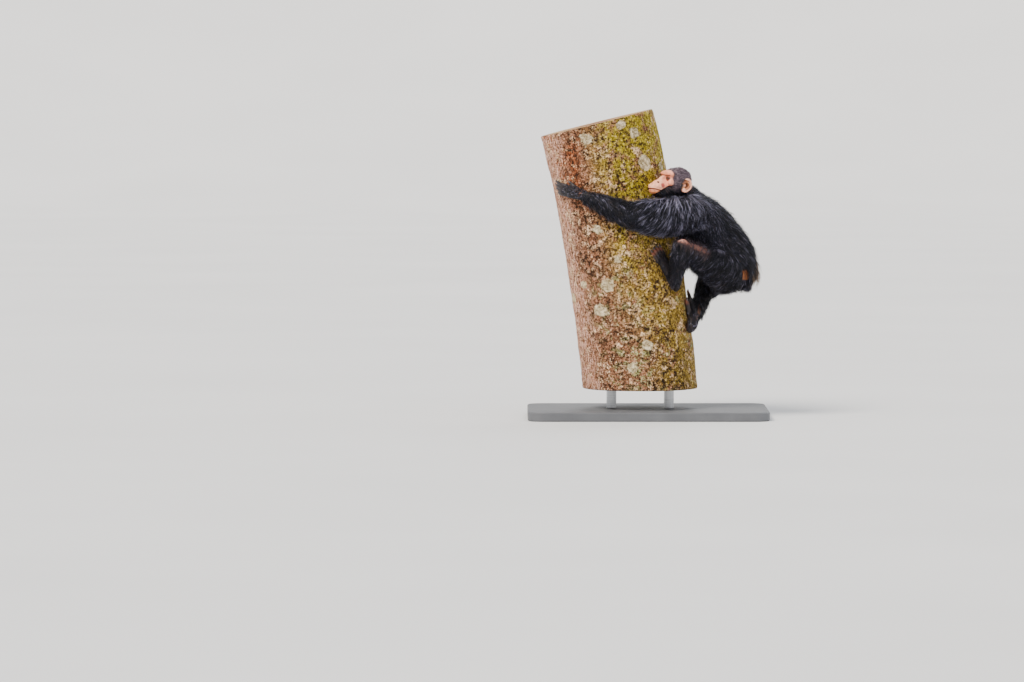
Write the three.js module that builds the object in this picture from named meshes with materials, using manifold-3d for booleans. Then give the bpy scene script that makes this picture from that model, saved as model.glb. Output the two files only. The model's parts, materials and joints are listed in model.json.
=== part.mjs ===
// A young chimpanzee clinging to a cut length of leaning tree trunk, life size, on a plain display stand.
// Millimetres, +Z up. The animal faces -X, its left side is -Y, and the origin is under the middle of the base.
import * as THREE from "three";
import { mergeVertices } from "three/addons/utils/BufferGeometryUtils.js";
import Module from "manifold-3d";

const wasm = await Module();
wasm.setup();

// Driving dimensions.
const GAP = 0.35; // kept between two nodes that touch
const BASE = { long: 960, wide: 620, thick: 36, corner: 60, bevel: 4 };
const ROD = { radius: 20, apart: 230 };
const TRUNK = { radius: 228, bottom: 116, top: 1176, lean: 0.17, bow: 0.000075, levelX: -100, levelZ: 668 };
const HEAD = { at: [122, -145, 950], yaw: 30, pitch: 3, roll: 4 };
const EYE = { forward: 62, side: 19.5, up: 8.5, radius: 9.5 };
const EAR = { forward: 1, side: 57, up: -15, high: 26, broad: 21, thick: 8, splay: 32, tilt: 13 };
const HAND = { palm: 78, width: 26, thick: 14, finger: 72, fingerRadius: 7.4, thumb: 42 };
const FOOT = { sole: 128, width: 26, thick: 16, toe: 54, toeRadius: 7.4, bigToe: 44 };
// Where each wrist and heel meets the trunk: degrees round from +X, height, and the way to the fingertips or
// toes, measured from level. "inner" is the side that the thumb and big toe are on.
const HANDHOLD = {
  left: { degrees: -121, z: 898, turn: 169, inner: -1 },
  right: { degrees: 110, z: 850, turn: 10, inner: 1 },
};
const FOOTHOLD = {
  left: { degrees: -42, z: 532, turn: 111, inner: -1 },
  right: { degrees: -24, z: 364, turn: 55, inner: 1 },
};

const vec = (x, y, z) => new THREE.Vector3(x, y, z);
const DOWN = vec(0, 0, -1);
const { sin, cos, PI, min, max, abs, sqrt } = Math;
const radians = THREE.MathUtils.degToRad;
const lerp = THREE.MathUtils.lerp;

// The trunk's axis leans and bows to the left as it rises.
function trunkAxis(z) {
  const below = TRUNK.levelZ - z;
  return TRUNK.levelX + TRUNK.lean * below - TRUNK.bow * below * below;
}

// The trunk isn't quite round: low swellings run up it.
function trunkRadius(angle, z) {
  const swell = 0.012 * sin(2 * angle + 0.8) + 0.009 * sin(3 * angle - z / 210) + 0.006 * sin(5 * angle + z / 130);
  return TRUNK.radius * (1 + swell);
}

// A point over the trunk's side: degrees round from +X, height, and distance out of the bark.
function onTrunk(degrees, z, lift) {
  const angle = radians(degrees);
  const radius = trunkRadius(angle, z) + lift;
  return vec(trunkAxis(z) + radius * cos(angle), radius * sin(angle), z);
}

// Solids.
function welded(geometry) {
  const bare = geometry.clone();
  bare.deleteAttribute("normal");
  bare.deleteAttribute("uv");
  return mergeVertices(bare, 1e-4);
}

// The same closed shape with its faces moved out by the gap, to cut a neighbour clear of it.
function grown(geometry) {
  const out = welded(geometry);
  out.computeVertexNormals();
  const place = out.attributes.position;
  const normal = out.attributes.normal;
  for (let i = 0; i < place.count; i++) {
    const at = vec().fromBufferAttribute(place, i);
    at.addScaledVector(vec().fromBufferAttribute(normal, i), GAP * 1.25);
    place.setXYZ(i, at.x, at.y, at.z);
  }
  return out;
}

function solid(geometry) {
  const closed = welded(geometry);
  return new wasm.Manifold(
    new wasm.Mesh({
      numProp: 3,
      vertProperties: closed.attributes.position.array,
      triVerts: new Uint32Array(closed.index.array),
    }),
  );
}

const fused = (shapes) => wasm.Manifold.union(shapes.map(solid));
const fusedGrown = (shapes) => fused([...shapes, ...shapes.map(grown)]);

const without = (body, others) => others.reduce((left, other) => left.subtract(other), body);

function largest(body) {
  return body.decompose().reduce((best, piece) => (piece.volume() > best.volume() ? piece : best));
}

function toGeometry(body) {
  const mesh = body.getMesh();
  const place = new Float32Array(mesh.numVert * 3);
  for (let i = 0; i < mesh.numVert; i++) {
    place.set(mesh.vertProperties.subarray(i * mesh.numProp, i * mesh.numProp + 3), i * 3);
  }
  const geometry = new THREE.BufferGeometry();
  geometry.setAttribute("position", new THREE.BufferAttribute(place, 3));
  geometry.setIndex(new THREE.BufferAttribute(mesh.triVerts, 1));
  geometry.computeVertexNormals();
  return geometry;
}

// Moves every vertex of a closed geometry by a function of its place.
function shaped(geometry, move) {
  const place = geometry.attributes.position;
  for (let i = 0; i < place.count; i++) {
    const to = move(vec().fromBufferAttribute(place, i));
    place.setXYZ(i, to.x, to.y, to.z);
  }
  return geometry;
}

// A rounded length of body. Each station is a point and two half sizes: the first along `across`, the second
// square to it. `blunt` is 2 for pointed ends and more for square ones.
function bodyLine(stations, across) {
  const points = stations.map(([at]) => at);
  const sizes = stations.map(([, wide, deep]) => vec(wide, deep, 0));
  const line = new THREE.CatmullRomCurve3(points, false, "centripetal");
  const size = new THREE.CatmullRomCurve3(sizes, false, "catmullrom", 0.4);
  return (t) => {
    const along = line.getTangent(t);
    const side = across.clone().addScaledVector(along, -across.dot(along)).normalize();
    const third = along.clone().cross(side);
    const { x: wide, y: deep } = size.getPoint(t);
    return { at: line.getPoint(t), along, side, third, wide, deep };
  };
}

function bodyLength(line, { sides = 7, rings = 7, blunt = 3, trim = 0 } = {}) {
  return shaped(new THREE.SphereGeometry(1, sides, rings), (v) => {
    const reach = min(1, abs(v.y));
    const { at, side, third, wide, deep } = line((1 - v.y) / 2);
    const round = sqrt(v.x * v.x + v.z * v.z) || 1;
    const full = (1 - reach ** blunt) ** (1 / blunt);
    return at
      .addScaledVector(side, (v.x / round) * full * (wide - trim))
      .addScaledVector(third, (v.z / round) * full * (deep - trim));
  });
}

const ellipsoid = (at, x, y, z, sides = 10, rings = 8) =>
  new THREE.SphereGeometry(1, sides, rings).scale(x, y, z).translate(at.x, at.y, at.z);

// Body plan: the outline of each length with its coat on, and how deep that coat is.
const ACROSS = vec(0, 1, 0);
const at = (x, y, z, wide, deep) => [vec(x, y, z), wide, deep];
const plan = {
  torso_upper: {
    across: ACROSS,
    coat: 18,
    stations: [
      at(176, -66, 884, 40, 32),
      at(197, -58, 852, 92, 50),
      at(215, -52, 818, 110, 70),
      at(230, -46, 764, 112, 106),
      at(259, -41, 712, 106, 120),
      at(288, -38, 672, 98, 110),
    ],
  },
  torso_lower: {
    across: ACROSS,
    coat: 18,
    stations: [
      at(249, -42, 736, 92, 106),
      at(279, -39, 694, 104, 120),
      at(316, -36, 652, 106, 108),
      at(348, -33, 612, 102, 90),
      at(373, -31, 572, 84, 64),
      at(394, -30, 534, 40, 34),
    ],
  },
  neck: {
    across: ACROSS,
    coat: 16,
    stations: [
      at(104, -136, 902, 42, 40),
      at(142, -114, 892, 50, 50),
      at(176, -84, 866, 58, 50),
      at(204, -60, 828, 62, 52),
    ],
  },
};

// Limbs, from the body outwards. The left ones are nearest the viewer.
const wristAt = (side) => onTrunk(HANDHOLD[side].degrees, HANDHOLD[side].z, 25);
const joints = {
  left: {
    shoulder: vec(172, -176, 838),
    elbow: vec(-54, -262, 814),
    hip: vec(324, -94, 588),
    knee: vec(133, -232, 690),
    ankle: vec(98, -186, 556),
  },
  right: {
    shoulder: vec(172, 78, 838),
    elbow: vec(4, 252, 800),
    hip: vec(324, 30, 590),
    knee: vec(244, 202, 536),
    ankle: vec(197, -18, 414),
  },
};

const between = (a, b, t, lift = vec()) => a.clone().lerp(b, t).add(lift);
for (const side of ["left", "right"]) {
  const { shoulder, elbow, hip, knee, ankle } = joints[side];
  const hand = wristAt(side);
  const inward = vec(0, side === "left" ? 1 : -1, 0);
  plan["upper_arm_" + side] = {
    across: DOWN,
    coat: 20,
    stations: [
      [between(shoulder, elbow, -0.24, inward.clone().multiplyScalar(34)), 48, 40],
      [shoulder, 68, 58],
      [between(shoulder, elbow, 0.3, vec(0, 0, -8)), 76, 54],
      [between(shoulder, elbow, 0.66, vec(0, 0, -5)), 69, 48],
      [between(shoulder, elbow, 0.92, vec(0, 0, 8)), 58, 42],
      [between(shoulder, elbow, 1.14), 36, 32],
    ],
  };
  plan["forearm_" + side] = {
    across: DOWN,
    coat: 15,
    stations: [
      [between(elbow, hand, -0.12), 34, 30],
      [between(elbow, hand, 0.1, vec(0, 0, -2)), 48, 42],
      [between(elbow, hand, 0.4, vec(0, 0, -2)), 46, 38],
      [between(elbow, hand, 0.75), 34, 29],
      [between(elbow, hand, 1.04), 26, 21],
    ],
  };
  plan["thigh_" + side] = {
    across: DOWN,
    coat: 16,
    stations: [
      [between(hip, knee, -0.3), 46, 42],
      [between(hip, knee, 0.02), 78, 64],
      [between(hip, knee, 0.4, vec(0, 0, -2)), 63, 56],
      [between(hip, knee, 0.8), 48, 44],
      [between(hip, knee, 1.14), 36, 36],
    ],
  };
  plan["shin_" + side] = {
    across: ACROSS,
    coat: 12,
    stations: [
      [between(knee, ankle, -0.16), 30, 30],
      [between(knee, ankle, 0.06), 39, 38],
      [between(knee, ankle, 0.38), 39, 37],
      [between(knee, ankle, 0.75), 30, 30],
      [between(knee, ankle, 1.08), 25, 25],
    ],
  };
}
for (const part of Object.values(plan)) part.line = bodyLine(part.stations, part.across);

// Nearly the distance from a point to an ellipsoid of half sizes a, b and c about the origin.
function toEllipsoid(x, y, z, a, b, c) {
  const q = Math.hypot(x / a, y / b, z / c);
  const steep = Math.hypot(x / (a * a), y / (b * b), z / (c * c)) || 1e-6;
  return (q * (q - 1)) / steep;
}

// Distance from a point to the core under the locks, taking each length of body as a chain of ellipsoids.
const chain = Object.entries(plan).flatMap(([name, { line, coat }]) =>
  Array.from({ length: 9 }, (_, i) => {
    const t = 0.08 + (0.84 * i) / 8;
    return { name, coat, ...line(t) };
  }),
);
const HEAD_SPHERE = { at: vec(...HEAD.at), radius: 50 };

function coreDistance(p, leftOut = []) {
  let nearest = p.distanceTo(HEAD_SPHERE.at) - HEAD_SPHERE.radius;
  for (const { name, at: centre, side, third, along, wide, deep, coat } of chain) {
    if (leftOut.includes(name)) continue;
    const off = p.clone().sub(centre);
    const w = wide - coat / 2;
    const d = deep - coat / 2;
    nearest = min(nearest, toEllipsoid(off.dot(side), off.dot(third), off.dot(along), w, d, min(w, d)));
  }
  return nearest;
}

function coreNormal(p) {
  const step = 1.5;
  const here = (x, y, z) => coreDistance(vec(p.x + x, p.y + y, p.z + z));
  return vec(
    here(step, 0, 0) - here(-step, 0, 0),
    here(0, step, 0) - here(0, -step, 0),
    here(0, 0, step) - here(0, 0, -step),
  ).normalize();
}

// The point straight over or under p that lies at this height over the core.
function overCore(p, height) {
  const to = p.clone();
  for (let i = 0; i < 2; i++) to.addScaledVector(coreNormal(to), height - coreDistance(to));
  return to;
}

const barkDistance = (p) => {
  const [x, y] = [p.x - trunkAxis(p.z), p.y];
  return Math.hypot(x, y) - trunkRadius(Math.atan2(y, x), p.z);
};

// Hair is worn or pressed away where one length of body meets another or lies on the bark.
const hasRoom = (p, own) => coreDistance(p, own) > 3 && barkDistance(p) > 12;

// A seeded draw from 0 to 1, so that the locks vary and never change.
let seed = 7;
function draw() {
  seed = (seed * 16807) % 2147483647;
  return seed / 2147483647;
}
const vary = (size, share) => size * (1 + share * (2 * draw() - 1));

// A flat, tapered lock of hair: a three-sided cone with a low ridge outside. Its edges hug the core, its root is
// sunk in, and its tip leaves the body and hangs the way the hair lies. With `extra` it is a little larger all
// round, to cut its neighbours clear of it: the thin edges and the tip move out farthest.
const LOCK_STEPS = 3;
const LOCK_WIDTHS = [0.7, 1, 0.72, 0];
const LOCK_HEIGHTS = [-9, -6, -2, 0];
function lock({ root, lie, long, wide, thick, lift }, extra = 0) {
  const rings = [];
  const step = long / LOCK_STEPS;
  let p = root;
  for (let i = 0; i < LOCK_STEPS; i++) {
    const normal = coreNormal(p);
    const way = lie.clone().addScaledVector(normal, -lie.dot(normal)).normalize();
    const across = way.clone().cross(normal).multiplyScalar((LOCK_WIDTHS[i] * wide) / 2 + 6 * extra);
    const height = LOCK_HEIGHTS[i];
    rings.push({
      ridge: overCore(p, height + thick + extra),
      right: overCore(p.clone().add(across), height - extra),
      left: overCore(p.clone().sub(across), height - extra),
    });
    p = overCore(p.clone().addScaledVector(way, step), height);
  }
  const last = rings[LOCK_STEPS - 1].ridge;
  let tip = last.clone().lerp(p, 0.5).addScaledVector(lie, step * 0.7);
  if (coreDistance(tip) < lift) tip = overCore(tip, lift);
  tip.addScaledVector(lie, 8 * extra);
  return shaped(new THREE.ConeGeometry(1, 1, 3, LOCK_STEPS), (v) => {
    const i = Math.round((v.y + 0.5) * LOCK_STEPS);
    if (i === LOCK_STEPS) return tip.clone();
    const { ridge, right, left } = rings[i];
    if (abs(v.x) + abs(v.z) < 1e-6) return left.clone().lerp(right, 0.5).lerp(ridge, 0.3);
    if (abs(v.x) < 1e-6) return ridge.clone();
    return v.x > 0 ? right.clone() : left.clone();
  });
}

// Rows of locks round one length of body. Each row is [place along it, how many, from angle, to angle] in turns,
// `lie` gives the way the hair runs there, and `over` names the next length, which the locks may hang over.
function lockRows(name, { rows, lie, long, wide, thick = 10, lift, over }) {
  const { line, coat } = plan[name];
  const forms = rows.flatMap(([t, count, from, to], row) =>
    Array.from({ length: count }, (_, i) => {
      const share = (i + 0.25 + 0.5 * (row % 2) + 0.2 * (draw() - 0.5)) / count;
      const angle = 2 * PI * lerp(from, to, share);
      const { at: centre, side, third, along, wide: w, deep: d } = line(t + 0.03 * (draw() - 0.5));
      const root = centre
        .clone()
        .addScaledVector(side, cos(angle) * (w - coat / 2))
        .addScaledVector(third, sin(angle) * (d - coat / 2));
      const size = { long: vary(long, 0.15), wide: vary(wide, 0.12), thick, lift: lift ?? coat * 0.65 };
      return { root, lie: lie(along), ...size };
    }),
  );
  return forms.filter((form) => hasRoom(form.root.clone().addScaledVector(form.lie, form.long * 0.3), [name, over]));
}

// Head: a sphere whose points move out along their rays to the blended surface of a few ellipsoids.
const headTurn = new THREE.Matrix4()
  .makeTranslation(...HEAD.at)
  .multiply(new THREE.Matrix4().makeRotationZ(radians(180 + HEAD.yaw)))
  .multiply(new THREE.Matrix4().makeRotationY(radians(-HEAD.pitch)))
  .multiply(new THREE.Matrix4().makeRotationX(radians(-HEAD.roll)));
const inHead = (forward, left, up) => vec(forward, left, up).applyMatrix4(headTurn);

const mirrored = (forward, side, up, size) => [
  { at: [forward, side, up], size },
  { at: [forward, -side, up], size },
];
const HEAD_FORMS = [
  { at: [2, 0, 2], size: [50, 48, 50] }, // braincase
  { at: [32, 0, 20], size: [34, 39, 26] }, // forehead
  { at: [34, 0, -2], size: [30, 37, 32] }, // face behind the eyes
  ...mirrored(60, 22, 24, [12, 20, 7]), // brow ridge
  { at: [63, 0, 22], size: [10, 18, 6] },
  ...mirrored(49, 31, -8, [18, 11, 14]), // cheekbones
  { at: [73, 0, 0], size: [20, 11, 15] }, // bridge of the nose
  { at: [85, 0, -24], size: [34, 23, 18] }, // muzzle
  { at: [106, 0, -27], size: [31, 25, 12] }, // upper lip
  { at: [100, 0, -48], size: [33, 22, 12] }, // lower lip and chin
  { at: [42, 0, -37], size: [48, 32, 19] }, // jaw
  { at: [102, 0, -11], size: [11, 11, 6] }, // nose
];
const HEAD_BLEND = 5;

function headDistance(p) {
  let sum = 0;
  for (const { at: centre, size } of HEAD_FORMS) {
    const away = toEllipsoid(p.x - centre[0], p.y - centre[1], p.z - centre[2], ...size);
    sum += Math.exp(-away / HEAD_BLEND);
  }
  return -HEAD_BLEND * Math.log(sum);
}

// The place where a ray from inside the head leaves it, in the head's own frame.
function headSurface(from, way, over = 0) {
  let inner = 0;
  let outer = 180;
  for (let i = 0; i < 26; i++) {
    const middle = (inner + outer) / 2;
    if (headDistance(from.clone().addScaledVector(way, middle)) < 0) inner = middle;
    else outer = middle;
  }
  return from.clone().addScaledVector(way, inner + over);
}

// A thin bent roll on the muzzle, from one corner of the mouth round to the other.
function mouthRoll(radius, up, over, spread) {
  const stations = Array.from({ length: 9 }, (_, i) => {
    const turn = radians(lerp(-spread, spread, i / 8));
    const rise = up - 7 * (1 - cos(turn)) + 2 * sin(3 * turn) ** 2;
    const place = headSurface(vec(86, 0, rise), vec(cos(turn), sin(turn), 0), over);
    return [inHead(place.x, place.y, place.z), radius, radius];
  });
  return bodyLength(bodyLine(stations, vec(0, 0, 1)), { sides: 4, rings: 8, blunt: 4 });
}

function headShapes() {
  const middle = vec(24, 0, -10);
  const skull = new THREE.SphereGeometry(1, 20, 19).rotateZ(-PI / 2);
  shaped(skull, (v) => {
    const way = vec(max(-1, v.x), v.y, v.z).normalize();
    const place = headSurface(middle, way);
    return inHead(place.x, place.y, place.z);
  });
  const lids = [1, -1].map((side) => {
    const cover = new THREE.SphereGeometry(EYE.radius + 2.2, 12, 9).rotateZ(-PI / 2);
    return cover.translate(EYE.forward, side * EYE.side, EYE.up).applyMatrix4(headTurn);
  });
  const lips = [mouthRoll(3.4, -34.5, -1.2, 74), mouthRoll(3.2, -41.5, -1.2, 70)];
  return [skull, ...lids, ...lips];
}

function headHollows() {
  const nostrils = [1, -1].map((side) =>
    ellipsoid(vec(112, side * 5.5, -13), 6, 3, 2.4, 6, 5).applyMatrix4(headTurn),
  );
  const openings = [1, -1].map((side) =>
    ellipsoid(vec(EYE.forward + 9, side * (EYE.side + 2.5), EYE.up), 7.5, 8.6, 4.4, 10, 6).applyMatrix4(headTurn),
  );
  return [mouthRoll(2, -38, 0.6, 68), ...nostrils, ...openings];
}

function eyeShape(side) {
  const ball = new THREE.SphereGeometry(EYE.radius, 10, 7).rotateZ(-PI / 2);
  return ball.translate(EYE.forward, side * EYE.side, EYE.up).applyMatrix4(headTurn);
}

// Ear: a shallow cup on edge, open to the side and front, with a rolled rim and a lobe.
function earPlace(side) {
  return new THREE.Matrix4()
    .copy(headTurn)
    .multiply(new THREE.Matrix4().makeTranslation(EAR.forward, side * EAR.side, EAR.up))
    .multiply(new THREE.Matrix4().makeRotationZ(-side * radians(EAR.splay)))
    .multiply(new THREE.Matrix4().makeRotationY(radians(-EAR.tilt)));
}

function earShapes(side) {
  const place = earPlace(side);
  const { broad, high, thick } = EAR;
  const shell = new THREE.SphereGeometry(1, 10, 6).scale(broad, thick, high);
  const root = new THREE.SphereGeometry(1, 5, 4).scale(11, 13, 15).translate(8, -side * 8, -3);
  return [shell, root].map((shape) => shape.applyMatrix4(place));
}

function earHollow(side) {
  const { broad, high, thick } = EAR;
  const cup = new THREE.SphereGeometry(1, 8, 5).scale(broad * 0.74, thick * 0.95, high * 0.76);
  return cup.translate(1.5, side * thick * 0.62, 1.5).applyMatrix4(earPlace(side));
}

// Hands and feet lie on the bark: places are measured along and across them, over the trunk's side.
function trunkPatch(degrees, z, turn) {
  const perDegree = (TRUNK.radius * PI) / 180;
  return (along, aside, lift) => {
    const round = along * cos(turn) - aside * sin(turn);
    const rise = along * sin(turn) + aside * cos(turn);
    return onTrunk(degrees + round / perDegree, z + rise, lift);
  };
}

function digit(patch, { from, aside, fan, long, radius, rise }) {
  const stations = [0, 0.35, 0.7, 1].map((share, i) => {
    const knuckle = i === 1 ? rise : i === 2 ? rise * 0.7 : 0;
    return [patch(from + share * long, aside + share * fan, radius * 0.86 + knuckle), radius, radius];
  });
  const tip = stations[3];
  tip[1] = tip[2] = radius * 0.72;
  const line = bodyLine(stations, vec(0, 0, 1));
  return bodyLength(line, { sides: 5, rings: 4, blunt: 5 });
}

// A palm or sole of four or five stations, each [place along it, half width, half thickness], and its digits.
function padWithDigits({ degrees, z, turn, inner }, stations, digits) {
  const patch = trunkPatch(degrees, z, radians(turn));
  const padLine = stations.map(([along, wide, thick]) => [patch(along, 0, thick), wide, thick]);
  const across = patch(0, 10, 0).sub(patch(0, 0, 0)).normalize();
  const pad = bodyLength(bodyLine(padLine, across), { sides: 8, rings: 7, blunt: 4 });
  return [pad, ...digits.map((form) => digit(patch, { ...form, aside: form.aside * inner, fan: form.fan * inner }))];
}

function handShapes(side) {
  const { palm, width, thick, finger, fingerRadius, thumb } = HAND;
  const pad = [
    [-0.22 * palm, 20, 17],
    [0.15 * palm, 23, 16],
    [0.6 * palm, width, thick],
    [1.1 * palm, width - 3, 10],
  ];
  const fingers = [0.9, 1, 0.96, 0.8].map((share, i) => {
    const aside = lerp(width - 7, 7 - width, i / 3);
    return { from: palm * 0.86, aside, fan: aside * 0.1, long: finger * share, radius: fingerRadius, rise: 7 };
  });
  const thumbForm = { from: palm * 0.14, aside: 15, fan: 22, long: thumb, radius: fingerRadius, rise: 2 };
  return padWithDigits(HANDHOLD[side], pad, [...fingers, thumbForm]);
}

function footShapes(side) {
  const { sole, width, thick, toe, toeRadius, bigToe } = FOOT;
  const pad = [
    [-0.14 * sole, 14, 15],
    [0.06 * sole, 22, 22],
    [0.3 * sole, 23, 22],
    [0.65 * sole, width, thick],
    [1.06 * sole, width - 3, 11],
  ];
  const toes = [0.9, 1, 0.96, 0.84].map((share, i) => {
    const aside = lerp(width - 7, 7 - width, i / 3);
    return { from: sole * 0.86, aside, fan: aside * 0.12, long: toe * share, radius: toeRadius, rise: 5 };
  });
  const bigToeForm = { from: sole * 0.4, aside: 15, fan: 40, long: bigToe, radius: toeRadius * 1.35, rise: 2 };
  return padWithDigits(FOOTHOLD[side], pad, [...toes, bigToeForm]);
}

// How the hair lies on each length of body: along it or against it, with some fall.
const fall = (share) => (along) => along.clone().addScaledVector(DOWN, share).normalize();
const against = (share) => (along) => along.clone().negate().addScaledVector(DOWN, share).normalize();

const everyRow = (places, count, from = 0, to = 1) => places.map((t) => [t, count, from, to]);
const coats = {
  torso_upper: { rows: everyRow([0.2, 0.42, 0.64, 0.86], 8), lie: fall(0.35), long: 92, wide: 70, over: "torso_lower" },
  torso_lower: { rows: everyRow([0.3, 0.46, 0.62, 0.78], 9), lie: fall(0.3), long: 84, wide: 66 },
  neck: { rows: everyRow([0.45], 6), lie: fall(0.15), long: 80, wide: 58, over: "torso_upper" },
};
for (const side of ["left", "right"]) {
  coats["upper_arm_" + side] = {
    rows: everyRow([0.2, 0.42, 0.64], 6),
    lie: fall(0.95),
    long: 84,
    wide: 56,
    lift: 14,
  };
  coats["forearm_" + side] = { rows: everyRow([0.3, 0.6], 5), lie: against(0.9), long: 82, wide: 48 };
  coats["thigh_" + side] = { rows: everyRow([0.3, 0.5, 0.7], 6), lie: fall(1.1), long: 76, wide: 56, lift: 11 };
  coats["shin_" + side] = { rows: everyRow([0.3, 0.55], 4), lie: fall(0.5), long: 56, wide: 44 };
}

// Stand and perch.
function baseShape() {
  const { long, wide, thick, corner, bevel } = BASE;
  const [x, y] = [long / 2 - corner - bevel, wide / 2 - corner - bevel];
  const outline = new THREE.Shape();
  outline.absarc(x, y, corner, 0, PI / 2);
  outline.absarc(-x, y, corner, PI / 2, PI);
  outline.absarc(-x, -y, corner, PI, 1.5 * PI);
  outline.absarc(x, -y, corner, 1.5 * PI, 2 * PI);
  const slab = new THREE.ExtrudeGeometry(outline, {
    depth: thick - 2 * bevel,
    bevelThickness: bevel,
    bevelSize: bevel,
    bevelSegments: 1,
    curveSegments: 4,
  });
  return slab.translate(0, 0, bevel);
}

function rodShape(side) {
  const bottom = BASE.thick + GAP;
  const rod = new THREE.CylinderGeometry(ROD.radius, ROD.radius, TRUNK.bottom - bottom - GAP, 16);
  rod.rotateX(PI / 2).translate(trunkAxis(TRUNK.bottom) + (side * ROD.apart) / 2, 0, (TRUNK.bottom + bottom - GAP) / 2);
  return rod;
}

// The trunk is cut level below, where the rods meet it, and square to its lean above.
function trunkShape() {
  const high = TRUNK.top - TRUNK.bottom;
  const log = new THREE.CylinderGeometry(1, 1, 1, 28, 6).rotateX(PI / 2);
  return shaped(log, (v) => {
    const share = v.z + 0.5;
    const z = TRUNK.bottom + share * high;
    const lean = TRUNK.lean - 2 * TRUNK.bow * (TRUNK.levelZ - z);
    const tilt = Math.atan(lean) * share ** 3;
    const round = sqrt(v.x * v.x + v.y * v.y);
    if (round < 1e-6) return vec(trunkAxis(z), 0, z);
    const angle = Math.atan2(v.y, v.x);
    const radius = trunkRadius(angle, z);
    return vec(trunkAxis(z) + radius * cos(angle) * cos(tilt), radius * sin(angle), z + radius * cos(angle) * sin(tilt));
  });
}

// Nodes in order: each keeps clear of the cores of all others that come before it, and its locks of every core.
const limb = (name, options = {}) => ({
  name,
  core: [bodyLength(plan[name].line, { trim: plan[name].coat / 2, ...options })],
  locks: coats[name] ? lockRows(name, coats[name]) : [],
  finish: "coat",
});
const sides = [
  ["left", 1],
  ["right", -1],
];
const nodes = [
  { name: "perch_trunk", core: [trunkShape()], finish: "bark" },
  { name: "stand_base", core: [baseShape()], finish: "stand" },
  ...sides.map(([side, sign]) => ({ name: "stand_rod_" + side, core: [rodShape(-sign)], finish: "rod" })),
  ...sides.map(([side, sign]) => ({ name: "eye_" + side, core: [eyeShape(sign)], finish: "eye" })),
  { name: "head", core: headShapes(), hollows: headHollows(), finish: "face" },
  ...sides.map(([side, sign]) => ({
    name: "ear_" + side,
    core: earShapes(sign),
    hollows: [earHollow(sign)],
    finish: "ear",
  })),
  limb("torso_upper", { sides: 10, rings: 7 }),
  limb("torso_lower", { sides: 10, rings: 7 }),
  limb("neck"),
  ...sides.flatMap(([side]) => [
    limb("upper_arm_" + side),
    limb("forearm_" + side),
    { name: "hand_" + side, core: handShapes(side), finish: "hand" },
    limb("thigh_" + side),
    limb("shin_" + side),
    { name: "foot_" + side, core: footShapes(side), finish: "hand" },
  ]),
];

const finishes = {
  bark: { color: 0x8d8067, roughness: 0.95, metalness: 0 },
  stand: { color: 0x5a5b5e, roughness: 0.5, metalness: 0 },
  rod: { color: 0x8c8e91, roughness: 0.35, metalness: 1 },
  eye: { color: 0x2a150b, roughness: 0.1, metalness: 0 },
  face: { color: 0xcf9d86, roughness: 0.6, metalness: 0 },
  ear: { color: 0xc08a6a, roughness: 0.6, metalness: 0 },
  coat: { color: 0x1c1a1d, roughness: 0.7, metalness: 0 },
  hand: { color: 0x2b2326, roughness: 0.6, metalness: 0 },
};

function buildNodes() {
  const cores = nodes.map(({ core }) => ({ body: fused(core), clear: fusedGrown(core) }));
  const taken = [];
  return nodes.map(({ name, locks = [], hollows = [], finish }, index) => {
    let body = cores[index].body;
    if (locks.length) {
      const shapes = locks.map((form) => lock(form));
      const later = cores.slice(index + 1).map(({ clear }) => clear);
      const hair = without(fused(shapes), [...later, ...taken]);
      taken.push(fused([...shapes, ...locks.map((form) => lock(form, GAP * 1.3))]));
      body = body.add(hair);
    }
    body = without(body, [...cores.slice(0, index).map(({ clear }) => clear), ...hollows.map(solid)]);
    const mesh = new THREE.Mesh(toGeometry(largest(body)), new THREE.MeshStandardMaterial(finishes[finish]));
    mesh.name = name;
    return mesh;
  });
}

const chimpanzee = new THREE.Group();
chimpanzee.name = "chimpanzee_on_trunk";
buildNodes().forEach((mesh) => chimpanzee.add(mesh));

export default chimpanzee;
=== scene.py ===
import json
import math

import bpy
import numpy as np
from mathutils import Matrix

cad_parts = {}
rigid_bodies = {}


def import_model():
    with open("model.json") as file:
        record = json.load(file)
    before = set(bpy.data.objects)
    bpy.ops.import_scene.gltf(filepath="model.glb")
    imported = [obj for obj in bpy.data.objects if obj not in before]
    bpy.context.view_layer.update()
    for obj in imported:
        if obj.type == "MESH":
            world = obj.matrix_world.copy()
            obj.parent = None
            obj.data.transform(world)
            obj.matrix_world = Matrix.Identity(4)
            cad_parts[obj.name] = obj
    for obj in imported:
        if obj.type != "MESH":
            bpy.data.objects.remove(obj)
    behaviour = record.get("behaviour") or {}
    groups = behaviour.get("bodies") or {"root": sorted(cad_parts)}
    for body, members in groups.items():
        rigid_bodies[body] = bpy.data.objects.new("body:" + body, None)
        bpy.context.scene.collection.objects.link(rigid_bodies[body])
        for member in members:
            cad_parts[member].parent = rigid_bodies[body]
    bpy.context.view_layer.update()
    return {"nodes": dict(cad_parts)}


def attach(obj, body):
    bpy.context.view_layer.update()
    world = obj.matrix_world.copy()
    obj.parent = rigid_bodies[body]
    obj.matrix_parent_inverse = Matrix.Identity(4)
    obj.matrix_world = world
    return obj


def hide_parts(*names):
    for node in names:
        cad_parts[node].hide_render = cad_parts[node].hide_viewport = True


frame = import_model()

import openvdb
from mathutils import Vector, noise

# A young chimpanzee clinging to a cut length of leaning trunk, on a plain display stand.
# Shapes are worked out in millimetres, as in the part's source, and become metres when a mesh is made.
rng = np.random.default_rng(7)


# small helpers
def unit(rows):
    return rows / np.maximum(np.linalg.norm(rows, axis=-1, keepdims=True), 1e-9)


def smooth(low, high, value):
    share = np.clip((value - low) / (high - low), 0, 1)
    return share * share * (3 - 2 * share)


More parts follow.
